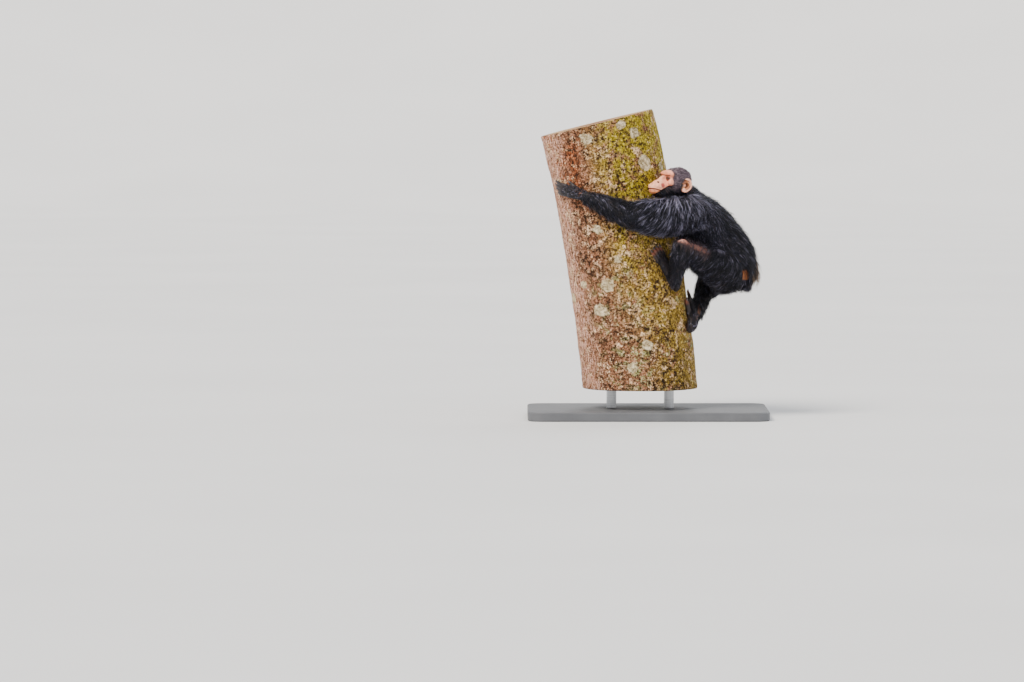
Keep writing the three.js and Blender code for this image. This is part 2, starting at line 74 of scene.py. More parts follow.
def hexColor(text):
    parts = [int(text[i:i + 2], 16) / 255 for i in (1, 3, 5)]
    return [c / 12.92 if c <= 0.04045 else ((c + 0.055) / 1.055) ** 2.4 for c in parts] + [1.0]


def mix(none, full, share):
    return none * (1 - share) + full * share


def makeObject(name, points, faces):
    mesh = bpy.data.meshes.new(name)
    points = np.asarray(points, np.float32) / 1000
    faces = np.asarray(faces, np.int32)
    mesh.vertices.add(len(points))
    mesh.vertices.foreach_set("co", points.ravel())
    mesh.loops.add(faces.size)
    mesh.loops.foreach_set("vertex_index", faces.ravel())
    mesh.polygons.add(len(faces))
    mesh.polygons.foreach_set("loop_start", np.arange(0, faces.size, faces.shape[1], dtype=np.int32))
    mesh.update(calc_edges=True)
    mesh.validate()
    mesh.polygons.foreach_set("use_smooth", np.ones(len(mesh.polygons), bool))
    thing = bpy.data.objects.new(name, mesh)
    bpy.context.scene.collection.objects.link(thing)
    return thing


def addAttribute(thing, name, values):
    kind = "FLOAT_COLOR" if values.ndim == 2 else "FLOAT"
    layer = thing.data.attributes.new(name, kind, "POINT")
    layer.data.foreach_set("color" if values.ndim == 2 else "value", values.astype(np.float32).ravel())


def meshPoints(thing):
    points = np.empty(len(thing.data.vertices) * 3, np.float32)
    thing.data.vertices.foreach_get("co", points)
    return points.reshape(-1, 3) * 1000


# camera and light, at the photograph's angle and framing; lengths here are in metres
view = {
    "aim": (-0.542, 0.0, 0.304), "down": 3.0, "away": 24.0, "frameWidth": 4.096, "sensor": 36,
    "key": 4.9, "fill": 0.8, "back": 1.2, "world": 0.85,
}
camera = bpy.data.objects.new("camera", bpy.data.cameras.new("camera"))
bpy.context.scene.collection.objects.link(camera)
tilt = math.radians(view["down"])
aim = Vector(view["aim"])
camera.location = aim + Vector((0, -math.cos(tilt), math.sin(tilt))) * view["away"]
camera.rotation_euler = (aim - camera.location).to_track_quat("-Z", "Y").to_euler()
camera.data.sensor_width = view["sensor"]
camera.data.lens = view["sensor"] * view["away"] / view["frameWidth"]
camera.data.clip_end = 100
bpy.context.scene.camera = camera


def addLight(name, toward, strength, softness, color):  # far and broad, so that the floor is lit evenly
    light = bpy.data.objects.new(name, bpy.data.lights.new(name, "SUN"))
    light.data.energy = strength
    light.data.angle = math.radians(softness)
    light.data.color = hexColor(color)[:3]
    light.rotation_euler = Vector(toward).to_track_quat("-Z", "Y").to_euler()
    bpy.context.scene.collection.objects.link(light)


addLight("keyLight", (0.55, 0.62, -0.95), view["key"], 24, "#fff6ea")
addLight("fillLight", (-0.8, 0.5, -0.5), view["fill"], 60, "#eef3ff")
addLight("backLight", (-0.35, -0.8, -0.9), view["back"], 40, "#ffffff")
world = bpy.data.worlds.new("studio")
world.use_nodes = True
backdrop = world.node_tree.nodes["Background"].inputs
backdrop["Color"].default_value = hexColor("#e9ebee")
backdrop["Strength"].default_value = view["world"]
bpy.context.scene.world = world
print("stage: camera and lights")


# materials
def addNode(tree, kind, settings=None, links=None):
    node = tree.nodes.new(kind)
    for key, value in (settings or {}).items():
        if key != "color_ramp":
            setattr(node, key, value)
            continue
        stops = node.color_ramp.elements
        stops.remove(stops[1])
        stops[0].position, stops[0].color = value[0][0], hexColor(value[0][1])
        for place, color in value[1:]:
            stops.new(place).color = hexColor(color)
    for key, value in (links or {}).items():
        if isinstance(value, bpy.types.Node):
            value = value.outputs[0]
        if isinstance(value, bpy.types.NodeSocket):
            tree.links.new(value, node.inputs[key])
        else:
            node.inputs[key].default_value = value
    return node


def newMaterial(name):  # it, its nodes, and a point's place in metres
    material = bpy.data.materials.new(name)
    material.use_nodes = True
    tree = material.node_tree
    tree.nodes.clear()
    return material, tree, addNode(tree, "ShaderNodeTexCoord").outputs["Object"]


def endMaterial(tree, links):
    shader = addNode(tree, "ShaderNodeBsdfPrincipled", None, links)
    addNode(tree, "ShaderNodeOutputMaterial", None, {"Surface": shader})


# trunk's form: its axis passes levelX at levelZ, leans, and bows a little below there
trunk = {
    "radius": 228, "bottom": 116, "top": 1176, "lean": 0.17, "bow": 0.000075, "levelX": -100, "levelZ": 668,
}
downWay = np.array([0.0, 0, -1])
acrossWay = np.array([0.0, 1, 0])


def trunkAxis(z):
    below = trunk["levelZ"] - z
    return trunk["levelX"] + trunk["lean"] * below - trunk["bow"] * below * below


def trunkRadius(angle, z):
    swell = 0.012 * np.sin(2 * angle + 0.8) + 0.009 * np.sin(3 * angle - z / 210)
    return trunk["radius"] * (1 + swell + 0.006 * np.sin(5 * angle + z / 130))


def onTrunk(degrees, z, lift):
    angle = np.radians(degrees)
    radius = trunkRadius(angle, z) + lift
    return np.array([trunkAxis(z) + radius * np.cos(angle), radius * np.sin(angle), z])


def barkDistance(points):
    x = points[:, 0] - trunkAxis(points[:, 2])
    return np.hypot(x, points[:, 1]) - trunkRadius(np.arctan2(points[:, 1], x), points[:, 2])


def alongCurve(rows, t):
    rows = np.asarray(rows, float)
    rows = np.vstack([2 * rows[0] - rows[1], rows, 2 * rows[-1] - rows[-2]])
    spans = len(rows) - 3
    x = np.clip(np.asarray(t, float) * spans, 0, spans - 1e-6)
    i = x.astype(int)
    s = (x - i)[:, None]
    a, b, c, d = (rows[i + k] for k in range(4))
    return 0.5 * (2 * b + (c - a) * s + (2 * a - 5 * b + 4 * c - d) * s ** 2 + (3 * b - a - 3 * c + d) * s ** 3)


# a length of the body is a row of ellipsoids along its stations: x, y, z, half width and half depth, coat and all
def makeLength(stations, across, coat=(0, 0), count=30, blunt=3.0):
    t = np.linspace(0.03, 0.97, count)
    rows = alongCurve(stations, t)
    along = unit(alongCurve(stations, t + 0.015)[:, :3] - alongCurve(stations, t - 0.015)[:, :3])
    side = unit(across - along * (along @ across)[:, None])
    third = np.cross(along, side)
    depth = coat[0] + (coat[1] - coat[0]) * smooth(0.5, 1.0, t)
    full = (1 - np.abs(2 * t - 1) ** blunt) ** (1 / blunt)
    wide, deep = (full * np.maximum(rows[:, k] - depth, 4) for k in (3, 4))
    axes = np.stack([side, third, along], -1)
    radii = np.stack([wide, deep, np.minimum(wide, deep)], -1)
    grow = radii.max(1)[:, None]
    return {
        "t": t, "centres": rows[:, :3], "axes": axes, "radii": radii, "along": along, "coat": depth,
        "low": (rows[:, :3] - grow).min(0), "high": (rows[:, :3] + grow).max(0),
    }


def nearLength(length, points):  # distance from its surface, and which of its ellipsoids is nearest
    best = np.full(len(points), 1e3, np.float32)  # far off, until one is nearer
    which = np.zeros(len(points), np.int32)
    for i, (centre, axes, radii) in enumerate(zip(length["centres"], length["axes"], length["radii"])):
        local = ((points - centre) @ axes).astype(np.float32)
        q = np.sqrt(np.square(local / radii).sum(1))
        steep = np.sqrt(np.square(local / radii ** 2).sum(1)) + 1e-6
        d = q * (q - 1) / steep
        nearer = d < best
        best[nearer] = d[nearer]
        which[nearer] = i
    return best, which


# Joints of the limbs. The left ones are nearest the viewer.
joints = {
    "left": {
        "shoulder": (172, -176, 838), "elbow": (-54, -262, 814), "wrist": onTrunk(-121, 898, 25),
        "hip": (324, -94, 588), "knee": (133, -232, 690), "ankle": (98, -186, 556),
    },
    "right": {
        "shoulder": (172, 78, 838), "elbow": (4, 252, 800), "wrist": onTrunk(110, 850, 25),
        "hip": (324, 30, 590), "knee": (244, 202, 536), "ankle": (197, -18, 414),
    },
}
# Coat on each length: depth at its start and end, hair length, way along the body, fall, how far hair hangs off
# the underside, the share of light strands, which are painted highlights of the coat's sheen, and how light the coat
# is, which is painted light and shade: lighter on the lit shoulders and arms, darker on the shaded lower body and
# legs.
coatFacts = ("depth", "hair", "along", "fall", "hang", "light", "tone")
coat = {
    "torsoUpper": ((18, 18), 50, 1.0, 0.45, 8, 0.42, 1.1),
    "torsoLower": ((18, 26), 52, 1.0, 0.55, 16, 0.34, 0.75),
    "neck": ((12, 16), 44, 1.0, 0.3, 5, 0.5, 1.1),
    "upperArm": ((20, 18), 66, 0.75, 1.0, 26, 0.7, 1.3),
    "forearm": ((15, 5), 42, -0.8, 0.9, 14, 0.3, 0.75),
    "thigh": ((16, 14), 54, 0.8, 1.2, 22, 0.42, 0.55),
    "shin": ((12, 5), 40, 1.0, 0.9, 16, 0.2, 0.5),
}
coat = {name: dict(zip(coatFacts, row)) for name, row in coat.items()}
torso = {
    "torsoUpper": [(176, -66, 884, 40, 32), (197, -58, 852, 92, 50), (215, -52, 818, 110, 70),
                   (230, -46, 764, 112, 106), (259, -41, 712, 106, 120), (288, -38, 672, 98, 110)],
    "torsoLower": [(249, -42, 736, 92, 106), (279, -39, 694, 104, 120), (316, -36, 652, 106, 108),
                   (348, -33, 612, 102, 90), (373, -31, 572, 84, 64), (394, -30, 534, 40, 34)],
    "neck": [(104, -136, 902, 42, 40), (142, -114, 892, 50, 50), (176, -84, 866, 58, 50), (204, -60, 828, 62, 52)],
}


def limbStations(start, end, rows):  # rows give the share of the way, what to add, and half width and depth
    start, end = np.array(start, float), np.array(end, float)
    return [(*(start + (end - start) * t + np.array(lift)), wide, deep) for t, lift, wide, deep in rows]


lengths = {name: makeLength(rows, acrossWay, coat[name]["depth"]) for name, rows in torso.items()}
for side, inward in (("left", 1), ("right", -1)):
    joint = joints[side]
    lengths["upperArm." + side] = makeLength(limbStations(joint["shoulder"], joint["elbow"], [
        (-0.24, (0, 34 * inward, 0), 48, 40), (0, (0, 0, 0), 68, 58), (0.3, (0, 0, -8), 76, 54),
        (0.66, (0, 0, -5), 69, 48), (0.92, (0, 0, 8), 58, 42), (1.14, (0, 0, 0), 36, 32),
    ]), downWay, coat["upperArm"]["depth"])
    lengths["forearm." + side] = makeLength(limbStations(joint["elbow"], joint["wrist"], [
        (-0.12, (0, 0, 0), 34, 30), (0.1, (0, 0, -2), 48, 42), (0.4, (0, 0, -2), 46, 38),
        (0.75, (0, 0, 0), 34, 29), (1.04, (0, 0, 0), 26, 21),
    ]), downWay, coat["forearm"]["depth"])
    lengths["thigh." + side] = makeLength(limbStations(joint["hip"], joint["knee"], [
        (-0.3, (0, 0, 0), 46, 42), (0.02, (0, 0, 0), 78, 64), (0.4, (0, 0, -2), 63, 56),
        (0.8, (0, 0, 0), 48, 44), (1.14, (0, 0, 0), 36, 36),
    ]), downWay, coat["thigh"]["depth"])
    lengths["shin." + side] = makeLength(limbStations(joint["knee"], joint["ankle"], [
        (-0.16, (0, 0, 0), 30, 30), (0.06, (0, 0, 0), 39, 38), (0.38, (0, 0, 0), 39, 37),
        (0.75, (0, 0, 0), 30, 30), (1.08, (0, 0, 0), 25, 25),
    ]), acrossWay, coat["shin"]["depth"])

# Hands and feet: pads and digits that lie on the bark. Each is held at degrees round the trunk, a height and a turn;
# pad rows are way along, half width and thickness; thumb is start, aside, fan, length and radius.
hand = {
    "left": {"at": (-121, 898, 169), "inner": -1}, "right": {"at": (110, 850, 10), "inner": 1},
    "pad": [(-23.4, 15, 14), (-7.8, 18, 16), (11.7, 23, 16), (46.8, 25, 14), (85.8, 22, 10)],
    "from": 67, "width": 26, "long": 72, "share": (0.9, 1, 0.96, 0.8), "radius": 6.9, "rise": 8, "fan": 0.16,
    "thumb": (11, 15, 22, 42, 6.6),
}
foot = {
    "left": {"at": (-42, 532, 111), "inner": -1}, "right": {"at": (-24, 364, 55), "inner": 1},
    "pad": [(-17.92, 13, 14), (7.68, 21, 21), (38.4, 22, 21), (83.2, 25, 16), (135.68, 22, 11)],
    "from": 110, "width": 26, "long": 54, "share": (0.9, 1, 0.96, 0.84), "radius": 6.9, "rise": 6, "fan": 0.18,
    "thumb": (51, 15, 40, 44, 9.4),
}


def trunkPatch(hold):  # gives a place on the bark from a way along and aside of the paw, and a lift off the bark
    degrees, z, turn = hold["at"]
    turn = math.radians(turn)
    perDegree = trunk["radius"] * math.pi / 180

    def place(along, aside, lift):
        across = along * math.cos(turn) - aside * math.sin(turn)
        return onTrunk(degrees + across / perDegree, z + along * math.sin(turn) + aside * math.cos(turn), lift)

    return place


def makeDigit(place, start, aside, fan, long, radius, rise):
    rows = []
    for share, lift, size in ((-0.1, 0, 1), (0.12, 0.5, 1.08), (0.33, 1, 1.02), (0.5, 0.95, 0.94),
                              (0.66, 0.72, 0.98), (0.83, 0.3, 0.86), (1, 0, 0.74)):
        at = place(start + share * long, aside + share * fan, radius * 0.9 + rise * lift)
        rows.append((*at, radius * size, radius * size * 0.94))
    tip = place(start + 0.93 * long, aside + 0.93 * fan, radius * 1.62)
    return makeLength(rows, np.array([0, 0, 1.0]), count=18, blunt=5), (tip, rows[-1][:3], rows[-3][:3])


def makePaw(form, side):
    hold = form[side]
    place = trunkPatch(hold)
    padRows = [(*place(along, 0, thick), wide, thick) for along, wide, thick in form["pad"]]
    across = unit(place(0, 10, 0) - place(0, 0, 0))
    shapes = [makeLength(padRows, across, count=26, blunt=4)]
    tips = []
    for i, share in enumerate(form["share"]):
        aside = (form["width"] - 7) * (1 - 2 * i / 3)
        digit, tip = makeDigit(place, form["from"], aside * hold["inner"], aside * form["fan"] * hold["inner"],
                               form["long"] * share, form["radius"], form["rise"])
        shapes.append(digit)
        tips.append((tip, form["radius"]))
    start, aside, fan, long, radius = form["thumb"]
    digit, tip = makeDigit(place, start, aside * hold["inner"], fan * hold["inner"], long, radius, 2)
    shapes.append(digit)
    tips.append((tip, radius))
    return shapes, tips


paws = {}
for side in ("left", "right"):
    paws["hand." + side] = makePaw(hand, side)
    paws["foot." + side] = makePaw(foot, side)
melt = {"body": 6.0, "head": 5.0, "paw": 1.8, "ear": 1.3}  # how far forms that meet run into each other, mm


def pawDistance(shapes, points):
    total = 0
    for shape in shapes:
        total = total + np.exp(-np.clip(nearLength(shape, points)[0], -60, 60) / melt["paw"])
    return -melt["paw"] * np.log(total)


def boxOf(shapes, margin):
    low, high = np.min([shape["low"] for shape in shapes], 0), np.max([shape["high"] for shape in shapes], 0)
    return low - margin, high + margin


# head: blended ellipsoids in its own frame, forward, left and up, in mm from the middle of the braincase
head = {"at": (122, -145, 950), "yaw": 30, "pitch": 3, "roll": 4, "coat": 5.0}
eye = {"forward": 62, "side": 19.5, "up": 8.5, "radius": 9.5}
ear = {"forward": 1, "side": 57, "up": -15, "high": 26, "broad": 21, "splay": 32, "tilt": 13}
headForms = [
    ((2, 0, 2), (50, 48, 50)),  # braincase
    ((32, 0, 20), (34, 39, 26)),  # forehead
    ((34, 0, -2), (30, 37, 32)),  # face behind the eyes
    ((59, 22, 23.5), (12, 20, 7.2)), ((59, -22, 23.5), (12, 20, 7.2)), ((62, 0, 22), (10, 18, 6)),  # brow ridge
    ((49, 31, -8), (18, 11, 14)), ((49, -31, -8), (18, 11, 14)),  # cheekbones
    ((73, 0, 0), (20, 11, 15)),  # bridge of the nose
    ((85, 0, -24), (34, 23, 18)),  # muzzle
    ((106, 0, -27), (31, 25, 12)),  # upper lip
    ((100, 0, -48), (33, 22, 12)),  # lower lip and chin
    ((42, 0, -37), (48, 32, 19)),  # jaw
    ((102, 0, -11), (11, 11, 6)),  # nose
]


def turnAbout(axis, degrees):
    c, s = math.cos(math.radians(degrees)), math.sin(math.radians(degrees))
    return np.array({"x": [[1, 0, 0], [0, c, -s], [0, s, c]], "y": [[c, 0, s], [0, 1, 0], [-s, 0, c]],
                     "z": [[c, -s, 0], [s, c, 0], [0, 0, 1]]}[axis], float)


headAxes = turnAbout("z", 180 + head["yaw"]) @ turnAbout("y", -head["pitch"]) @ turnAbout("x", -head["roll"])
headAt = np.array(head["at"], float)


def toHead(points):
    return (points - headAt) @ headAxes


def fromHead(points):
    return np.asarray(points, float) @ headAxes.T + headAt


def toEllipsoid(points, centre, radii):
    local = points - np.array(centre, float)
    radii = np.array(radii, float)
    q = np.sqrt(np.square(local / radii).sum(1))
    return q * (q - 1) / (np.sqrt(np.square(local / radii ** 2).sum(1)) + 1e-6)


# the bare face's edge: how far forward it is at each height, and where it fades out at the top
faceEdge = {"up": (-60, -48, -32, -18, 40), "forward": (116, 108, 83, 53, 50), "top": (47, 38)}


def faceShare(p):  # bare face: its edge runs down behind the eyes and forward under the cheek to the chin
    edge = np.interp(p[:, 2], faceEdge["up"], faceEdge["forward"]) + 1.5 * np.sin(p[:, 2] / 5)
    return smooth(-7, 5, p[:, 0] - edge) * smooth(*faceEdge["top"], p[:, 2])


def mouthLine(p):  # the turn round the muzzle, and the height at which the lips meet there
    turn = np.arctan2(p[:, 1], p[:, 0] - 86)
    return turn, -38 - 7 * (1 - np.cos(turn)) + 2 * np.sin(3 * turn) ** 2


def nostrilAt(way):
    return (105, way * 10, -10.5)


def roundMax(a, b, k):  # the larger of two fields, rounded where they meet
    h = np.clip(0.5 - 0.5 * (b - a) / k, 0, 1)
    return b + (a - b) * h + k * h * (1 - h)


def ripple(along, span):  # a wave, one crest for each span
    return np.cos(along * 2 * np.pi / span)


def headField(p, detail=True):  # distance from the head's surface; depths and spans of its folds are in mm
    total = 0
    for centre, radii in headForms:
        total = total + np.exp(-np.clip(toEllipsoid(p, centre, radii), -60, 90) / melt["head"])
    field = -melt["head"] * np.log(total)
    field = field + (head["coat"] - 1) * (1 - faceShare(p))
    if not detail:
        return field
    forward, left, up = p[:, 0], np.abs(p[:, 1]), p[:, 2]
    # folds under the eyes, over the brow and across the bridge of the nose
    away = np.hypot((left - eye["side"]) / 1.15, up - eye["up"])
    under = smooth(2, -6, up - eye["up"]) * smooth(40, 52, forward)
    field = field + 0.4 * under * ripple(away - 12.5, 5.5) * smooth(9, 12, away) * smooth(27, 20, away)
    field = field + 0.3 * ripple(up, 5) * smooth(27, 31, up) * smooth(46, 38, up) * smooth(40, 55, forward)
    bridge = smooth(12, 7, left) * smooth(70, 78, forward) * smooth(102, 96, forward)
    field = field + 0.35 * ripple(forward + up, 6) * bridge
    # orbit, lids and the opening between them
    at = np.array([forward - eye["forward"], left - eye["side"], up - eye["up"]])
    ball = np.sqrt((at ** 2).sum(0))
    orbit = toEllipsoid(np.stack([forward, left, up], 1), (eye["forward"] + 15, eye["side"] + 2, eye["up"] - 1),
                        (13, 14, 10))
    field = roundMax(field, -orbit, 4)
    lids = ball - eye["radius"] - 1.6
    field = -roundMax(-field, -lids, 1.5)
    gap = np.abs(at[2] + 0.12 * at[1]) - 4.2 * (1 - ((at[1] - 1.5) / 9.3) ** 2)
    gap = np.maximum(gap, eye["forward"] + 1 - forward)
    field = roundMax(field, -gap, 0.8)
    # nose: wings, a dip above them, and nostrils
    for way in (1, -1):
        wing = toEllipsoid(p, (105, way * 8, -13), (6, 4.5, 4))
        field = -roundMax(-field, -wing, 2)
        nostril = toEllipsoid(p, nostrilAt(way), (4.4, 5, 3.8))
        field = roundMax(field, -nostril, 1.0)
    # mouth: two lips that meet in a line round the muzzle, with upright creases above
    turn, rise = mouthLine(p)
    onMouth = smooth(1.35, 1.1, np.abs(turn)) * smooth(86, 92, forward)
    off = up - rise
    field = field + onMouth * (3.2 * np.exp(-(off / 1.5) ** 2) - 1.8 * np.exp(-((off - 3.8) / 2.4) ** 2)
                               - 1.8 * np.exp(-((off + 3.8) / 2.4) ** 2))
    field = field + 0.25 * np.cos(turn * 26) * smooth(3, 6, off) * smooth(16, 11, off) * smooth(96, 104, forward)
    # fold from the nose down the cheek
    fold = np.exp(-((left - 17 - 0.35 * (-14 - up)) / 2.6) ** 2) * smooth(-38, -30, up) * smooth(-6, -14, up)
    return field + 1.3 * fold * smooth(78, 86, forward)


def toEar(p, way):  # forward, out and up in the ear's own frame; way is 1 on the left and -1 on the right
    place = turnAbout("z", -way * ear["splay"]) @ turnAbout("y", -ear["tilt"])
    return (p - np.array([ear["forward"], way * ear["side"], ear["up"]])) @ place


def earField(p, way):  # a bowed sheet with a rolled rim, a fold inside it, a lobe, a tragus and a root
    q = toEar(p, way)
    x, y, z = q[:, 0], q[:, 1] * way, q[:, 2]
    broad = ear["broad"] * (1 - 0.12 * smooth(0, -26, z))
    ring = np.sqrt((x / broad) ** 2 + (z / ear["high"]) ** 2)
    bowl = -5 + 8.5 * ring ** 2 - 6 * np.exp(-(((x - 4) / 9) ** 2 + ((z + 2) / 10) ** 2))
    fold = np.abs(ring - 0.58 - 0.07 * np.sin(2.5 * np.arctan2(z, -x)))
    bowl = bowl + 3.0 * np.exp(-(fold / 0.10) ** 2) * smooth(8, -3, x)
    sheet = np.maximum((np.abs(y - bowl) - 1.7) / 1.35, (ring - 1) * 20)
    roll = np.hypot((ring - 0.95) * 21, y - 3.0) - 3.0 + 2.6 * smooth(1, 13, x)
    lobe = toEllipsoid(np.stack([x, y, z], 1), (5, 0, -20), (8, 4, 9))
    tragus = toEllipsoid(np.stack([x, y, z], 1), (15, 1, -5), (5, 4.5, 8))
    root = toEllipsoid(np.stack([x, y, z], 1), (8, -9, -3), (10, 10, 14))
    total = sum(np.exp(-np.clip(d, -30, 60) / melt["ear"]) for d in (sheet, roll, lobe, tragus, root))
    return -melt["ear"] * np.log(total)


# one skin from these fields, each sampled on a grid of its own cell
skinCell = {"body": 4.0, "head": 1.25, "hand": 2.0, "foot": 2.0}


def gridPoints(axes):
    return np.stack(np.meshgrid(*axes, indexing="ij"), -1).reshape(-1, 3)


def boxPoints(low, high, cell):
    size = (np.ceil((high - low) / cell) + 1).astype(int)
    return gridPoints([low[k] + cell * np.arange(size[k]) for k in range(3)]), size


def fieldObject(name, field, low, cell):
    grid = openvdb.FloatGrid(50.0)
    grid.copyFromArray(np.clip(field, -50, 50).astype(np.float32))
    points, quads = grid.convertToQuads(0.0)
    return makeObject(name, points * cell + low, quads[:, ::-1])


def bodyGrid(cell, reach=44.0):  # all lengths melted together; past their reach they add nothing
    shapes = list(lengths.values()) + [shape for forms, tips in paws.values() for shape in forms]
    low, high = boxOf(shapes + [{"low": headAt - 140, "high": headAt + 70}], reach)
    size = (np.ceil((high - low) / cell) + 1).astype(int)
    k = melt["body"]
    total = np.full(size, math.exp(-reach / k), np.float32)
    for part in lengths.values():
        a = np.maximum(0, np.floor((part["low"] - reach - low) / cell).astype(int))
        b = np.minimum(size, np.ceil((part["high"] + reach - low) / cell).astype(int))
        points = gridPoints([low[i] + cell * np.arange(a[i], b[i]) for i in range(3)])
        d = np.clip(nearLength(part, points)[0], -reach, reach)
        total[a[0]:b[0], a[1]:b[1], a[2]:b[2]] += np.exp(-d / k).reshape(b - a) - math.exp(-reach / k)
    return -k * np.log(np.maximum(total, 1e-9)), low


bodyField, bodyLow = bodyGrid(skinCell["body"])
skin = fieldObject("skin", bodyField, bodyLow, skinCell["body"])
extras = []
headReach = {"forward": (-66, 146), "left": (-84, 84), "up": (-72, 66)}
headBox = fromHead([[x, y, z] for x in headReach["forward"] for y in headReach["left"] for z in headReach["up"]])
points, size = boxPoints(headBox.min(0), headBox.max(0), skinCell["head"])
inHead = toHead(points)
headGrid = headField(inHead)
for way in (1, -1):
    nearEar = np.abs(inHead[:, 1] * way - 52) < 34
    headGrid[nearEar] = -roundMax(-headGrid[nearEar], -earField(inHead[nearEar], way), 2.5)
extras.append(fieldObject("headSkin", headGrid.reshape(size), headBox.min(0), skinCell["head"]))
for name, (shapes, tips) in paws.items():
    low, high = boxOf(shapes, 4)
    cell = skinCell[name.split(".")[0]]
    points, size = boxPoints(low, high, cell)
    extras.append(fieldObject(name, pawDistance(shapes, points).reshape(size), low, cell))
print("stage: fields meshed", len(skin.data.polygons), [len(o.data.polygons) for o in extras])
bpy.context.view_layer.objects.active = skin
for extra in extras:
    join = skin.modifiers.new("join", "BOOLEAN")
    join.solver, join.operation, join.object = "MANIFOLD", "UNION", extra
    bpy.ops.object.modifier_apply(modifier=join.name)
    bpy.data.objects.remove(extra)
skin.data.polygons.foreach_set("use_smooth", np.ones(len(skin.data.polygons), bool))
skin.data.polygons.foreach_set("material_index", np.zeros(len(skin.data.polygons), np.int32))
print("stage: one skin", len(skin.data.polygons))

# Where a point of the skin lies, and what skin and hair are like there. A marking is a line or a spot as seen from
# the front: x and z of its ends, its size, where it fades out and is full, counted in sizes, and where in y.
markings = {
    "knee": ((124, 720), (236, 668), 9, (2.0, 0.6), (-150, -190)),
    # kneecap: bare knee skin with a painted highlight on its top
    "kneecap": ((127, 721), (127, 721), 8, (1.5, 0.3), (-150, -190)),
    "ischium": ((388, 572), (388, 572), 19, (1.3, 0.85), None),
    "rumpCorner": ((430, 504), (430, 504), 58, (1.3, 0.4), None),
    "shin": ((226, 506), (198, 400), 8, (1.6, 0.6), (20, -10)),
    "wrist": ((-276, 906), (-276, 906), 12, (1.8, 0.5), (0.01, -0.01)),
}
softSpots = {"rump": (420, -50, 628, 20, 0.35), "chest": (142, -60, 730, 40, 0.3)}  # centre, size, and weight of y
# a reddish mark on the cheek, partly painted shade of the fold that runs from the nose down the cheek
cheekMark = {"at": (89, 23, -21), "size": 8}  # in the head's frame


def lineDistance(points, start, end):
    start, end = np.array(start, float), np.array(end, float)
    way = end - start
    share = np.clip(((points - start) @ way) / max(way @ way, 1e-9), 0, 1)
    return np.linalg.norm(points - start - share[:, None] * way, axis=1)


def bodyPlace(points):
    points = points.astype(np.float32)
    count = len(points)
    names = list(lengths)
    near = np.full((count, len(names)), 80.0, np.float32)
    which = np.zeros((count, len(names)), np.int32)
    for i, part in enumerate(lengths.values()):
        inside = np.all((points > part["low"] - 40) & (points < part["high"] + 40), 1)
        if inside.any():
            near[inside, i], which[inside, i] = nearLength(part, points[inside])
    place = {"points": points, "names": names, "near": near, "which": which}
    place["head"] = toHead(points)
    place["headNear"] = headField(place["head"], False)
    place["face"] = faceShare(place["head"]) * smooth(14, 6, place["headNear"])
    place["ear"] = np.minimum(earField(place["head"], 1), earField(place["head"], -1))
    front = [toEar(place["head"], way)[:, 0] for way in (1, -1)]
    place["earFront"] = np.where(place["head"][:, 1] > 0, *front)
    place["paws"] = {}
    for name, (shapes, tips) in paws.items():
        low, high = boxOf(shapes, 20)
        inside = np.all((points > low) & (points < high), 1)
        far = np.full(count, 60.0)
        if inside.any():
            far[inside] = pawDistance(shapes, points[inside])
        place["paws"][name] = far
    for name, (start, end, size, fade, sides) in markings.items():
        place[name] = smooth(*fade, lineDistance(points[:, (0, 2)], start, end) / size)
        if sides:
            place[name] = place[name] * smooth(*sides, points[:, 1])
    for name, (x, y, z, size, flatness) in softSpots.items():
        place[name] = np.exp(-(np.square(points - [x, y, z]) * [1, flatness, 1]).sum(1) / size ** 2)
    return place


skinColors = {  # bare skin and the skin under the coat, by region
    "under": "#221d20", "scalp": "#6d5f68", "face": "#fba787", "muzzle": "#ffba98", "chin": "#dc8d5c",
    "brow": "#ea9270", "browShade": "#733826", "fold": "#9c3533", "lip": "#9c4b31", "lid": "#7d4331",
    "nostril": "#241412", "earRim": "#eeb096", "earBowl": "#b0734a", "earDeepShade": "#4f2413", "hand": "#2a2325",
    "foot": "#2b2222", "toe": "#7f4c38", "knee": "#a37468", "kneecap": "#e6ac9c", "ischium": "#a9663a",
    "shin": "#7d5b4b", "wrist": "#916353",
}


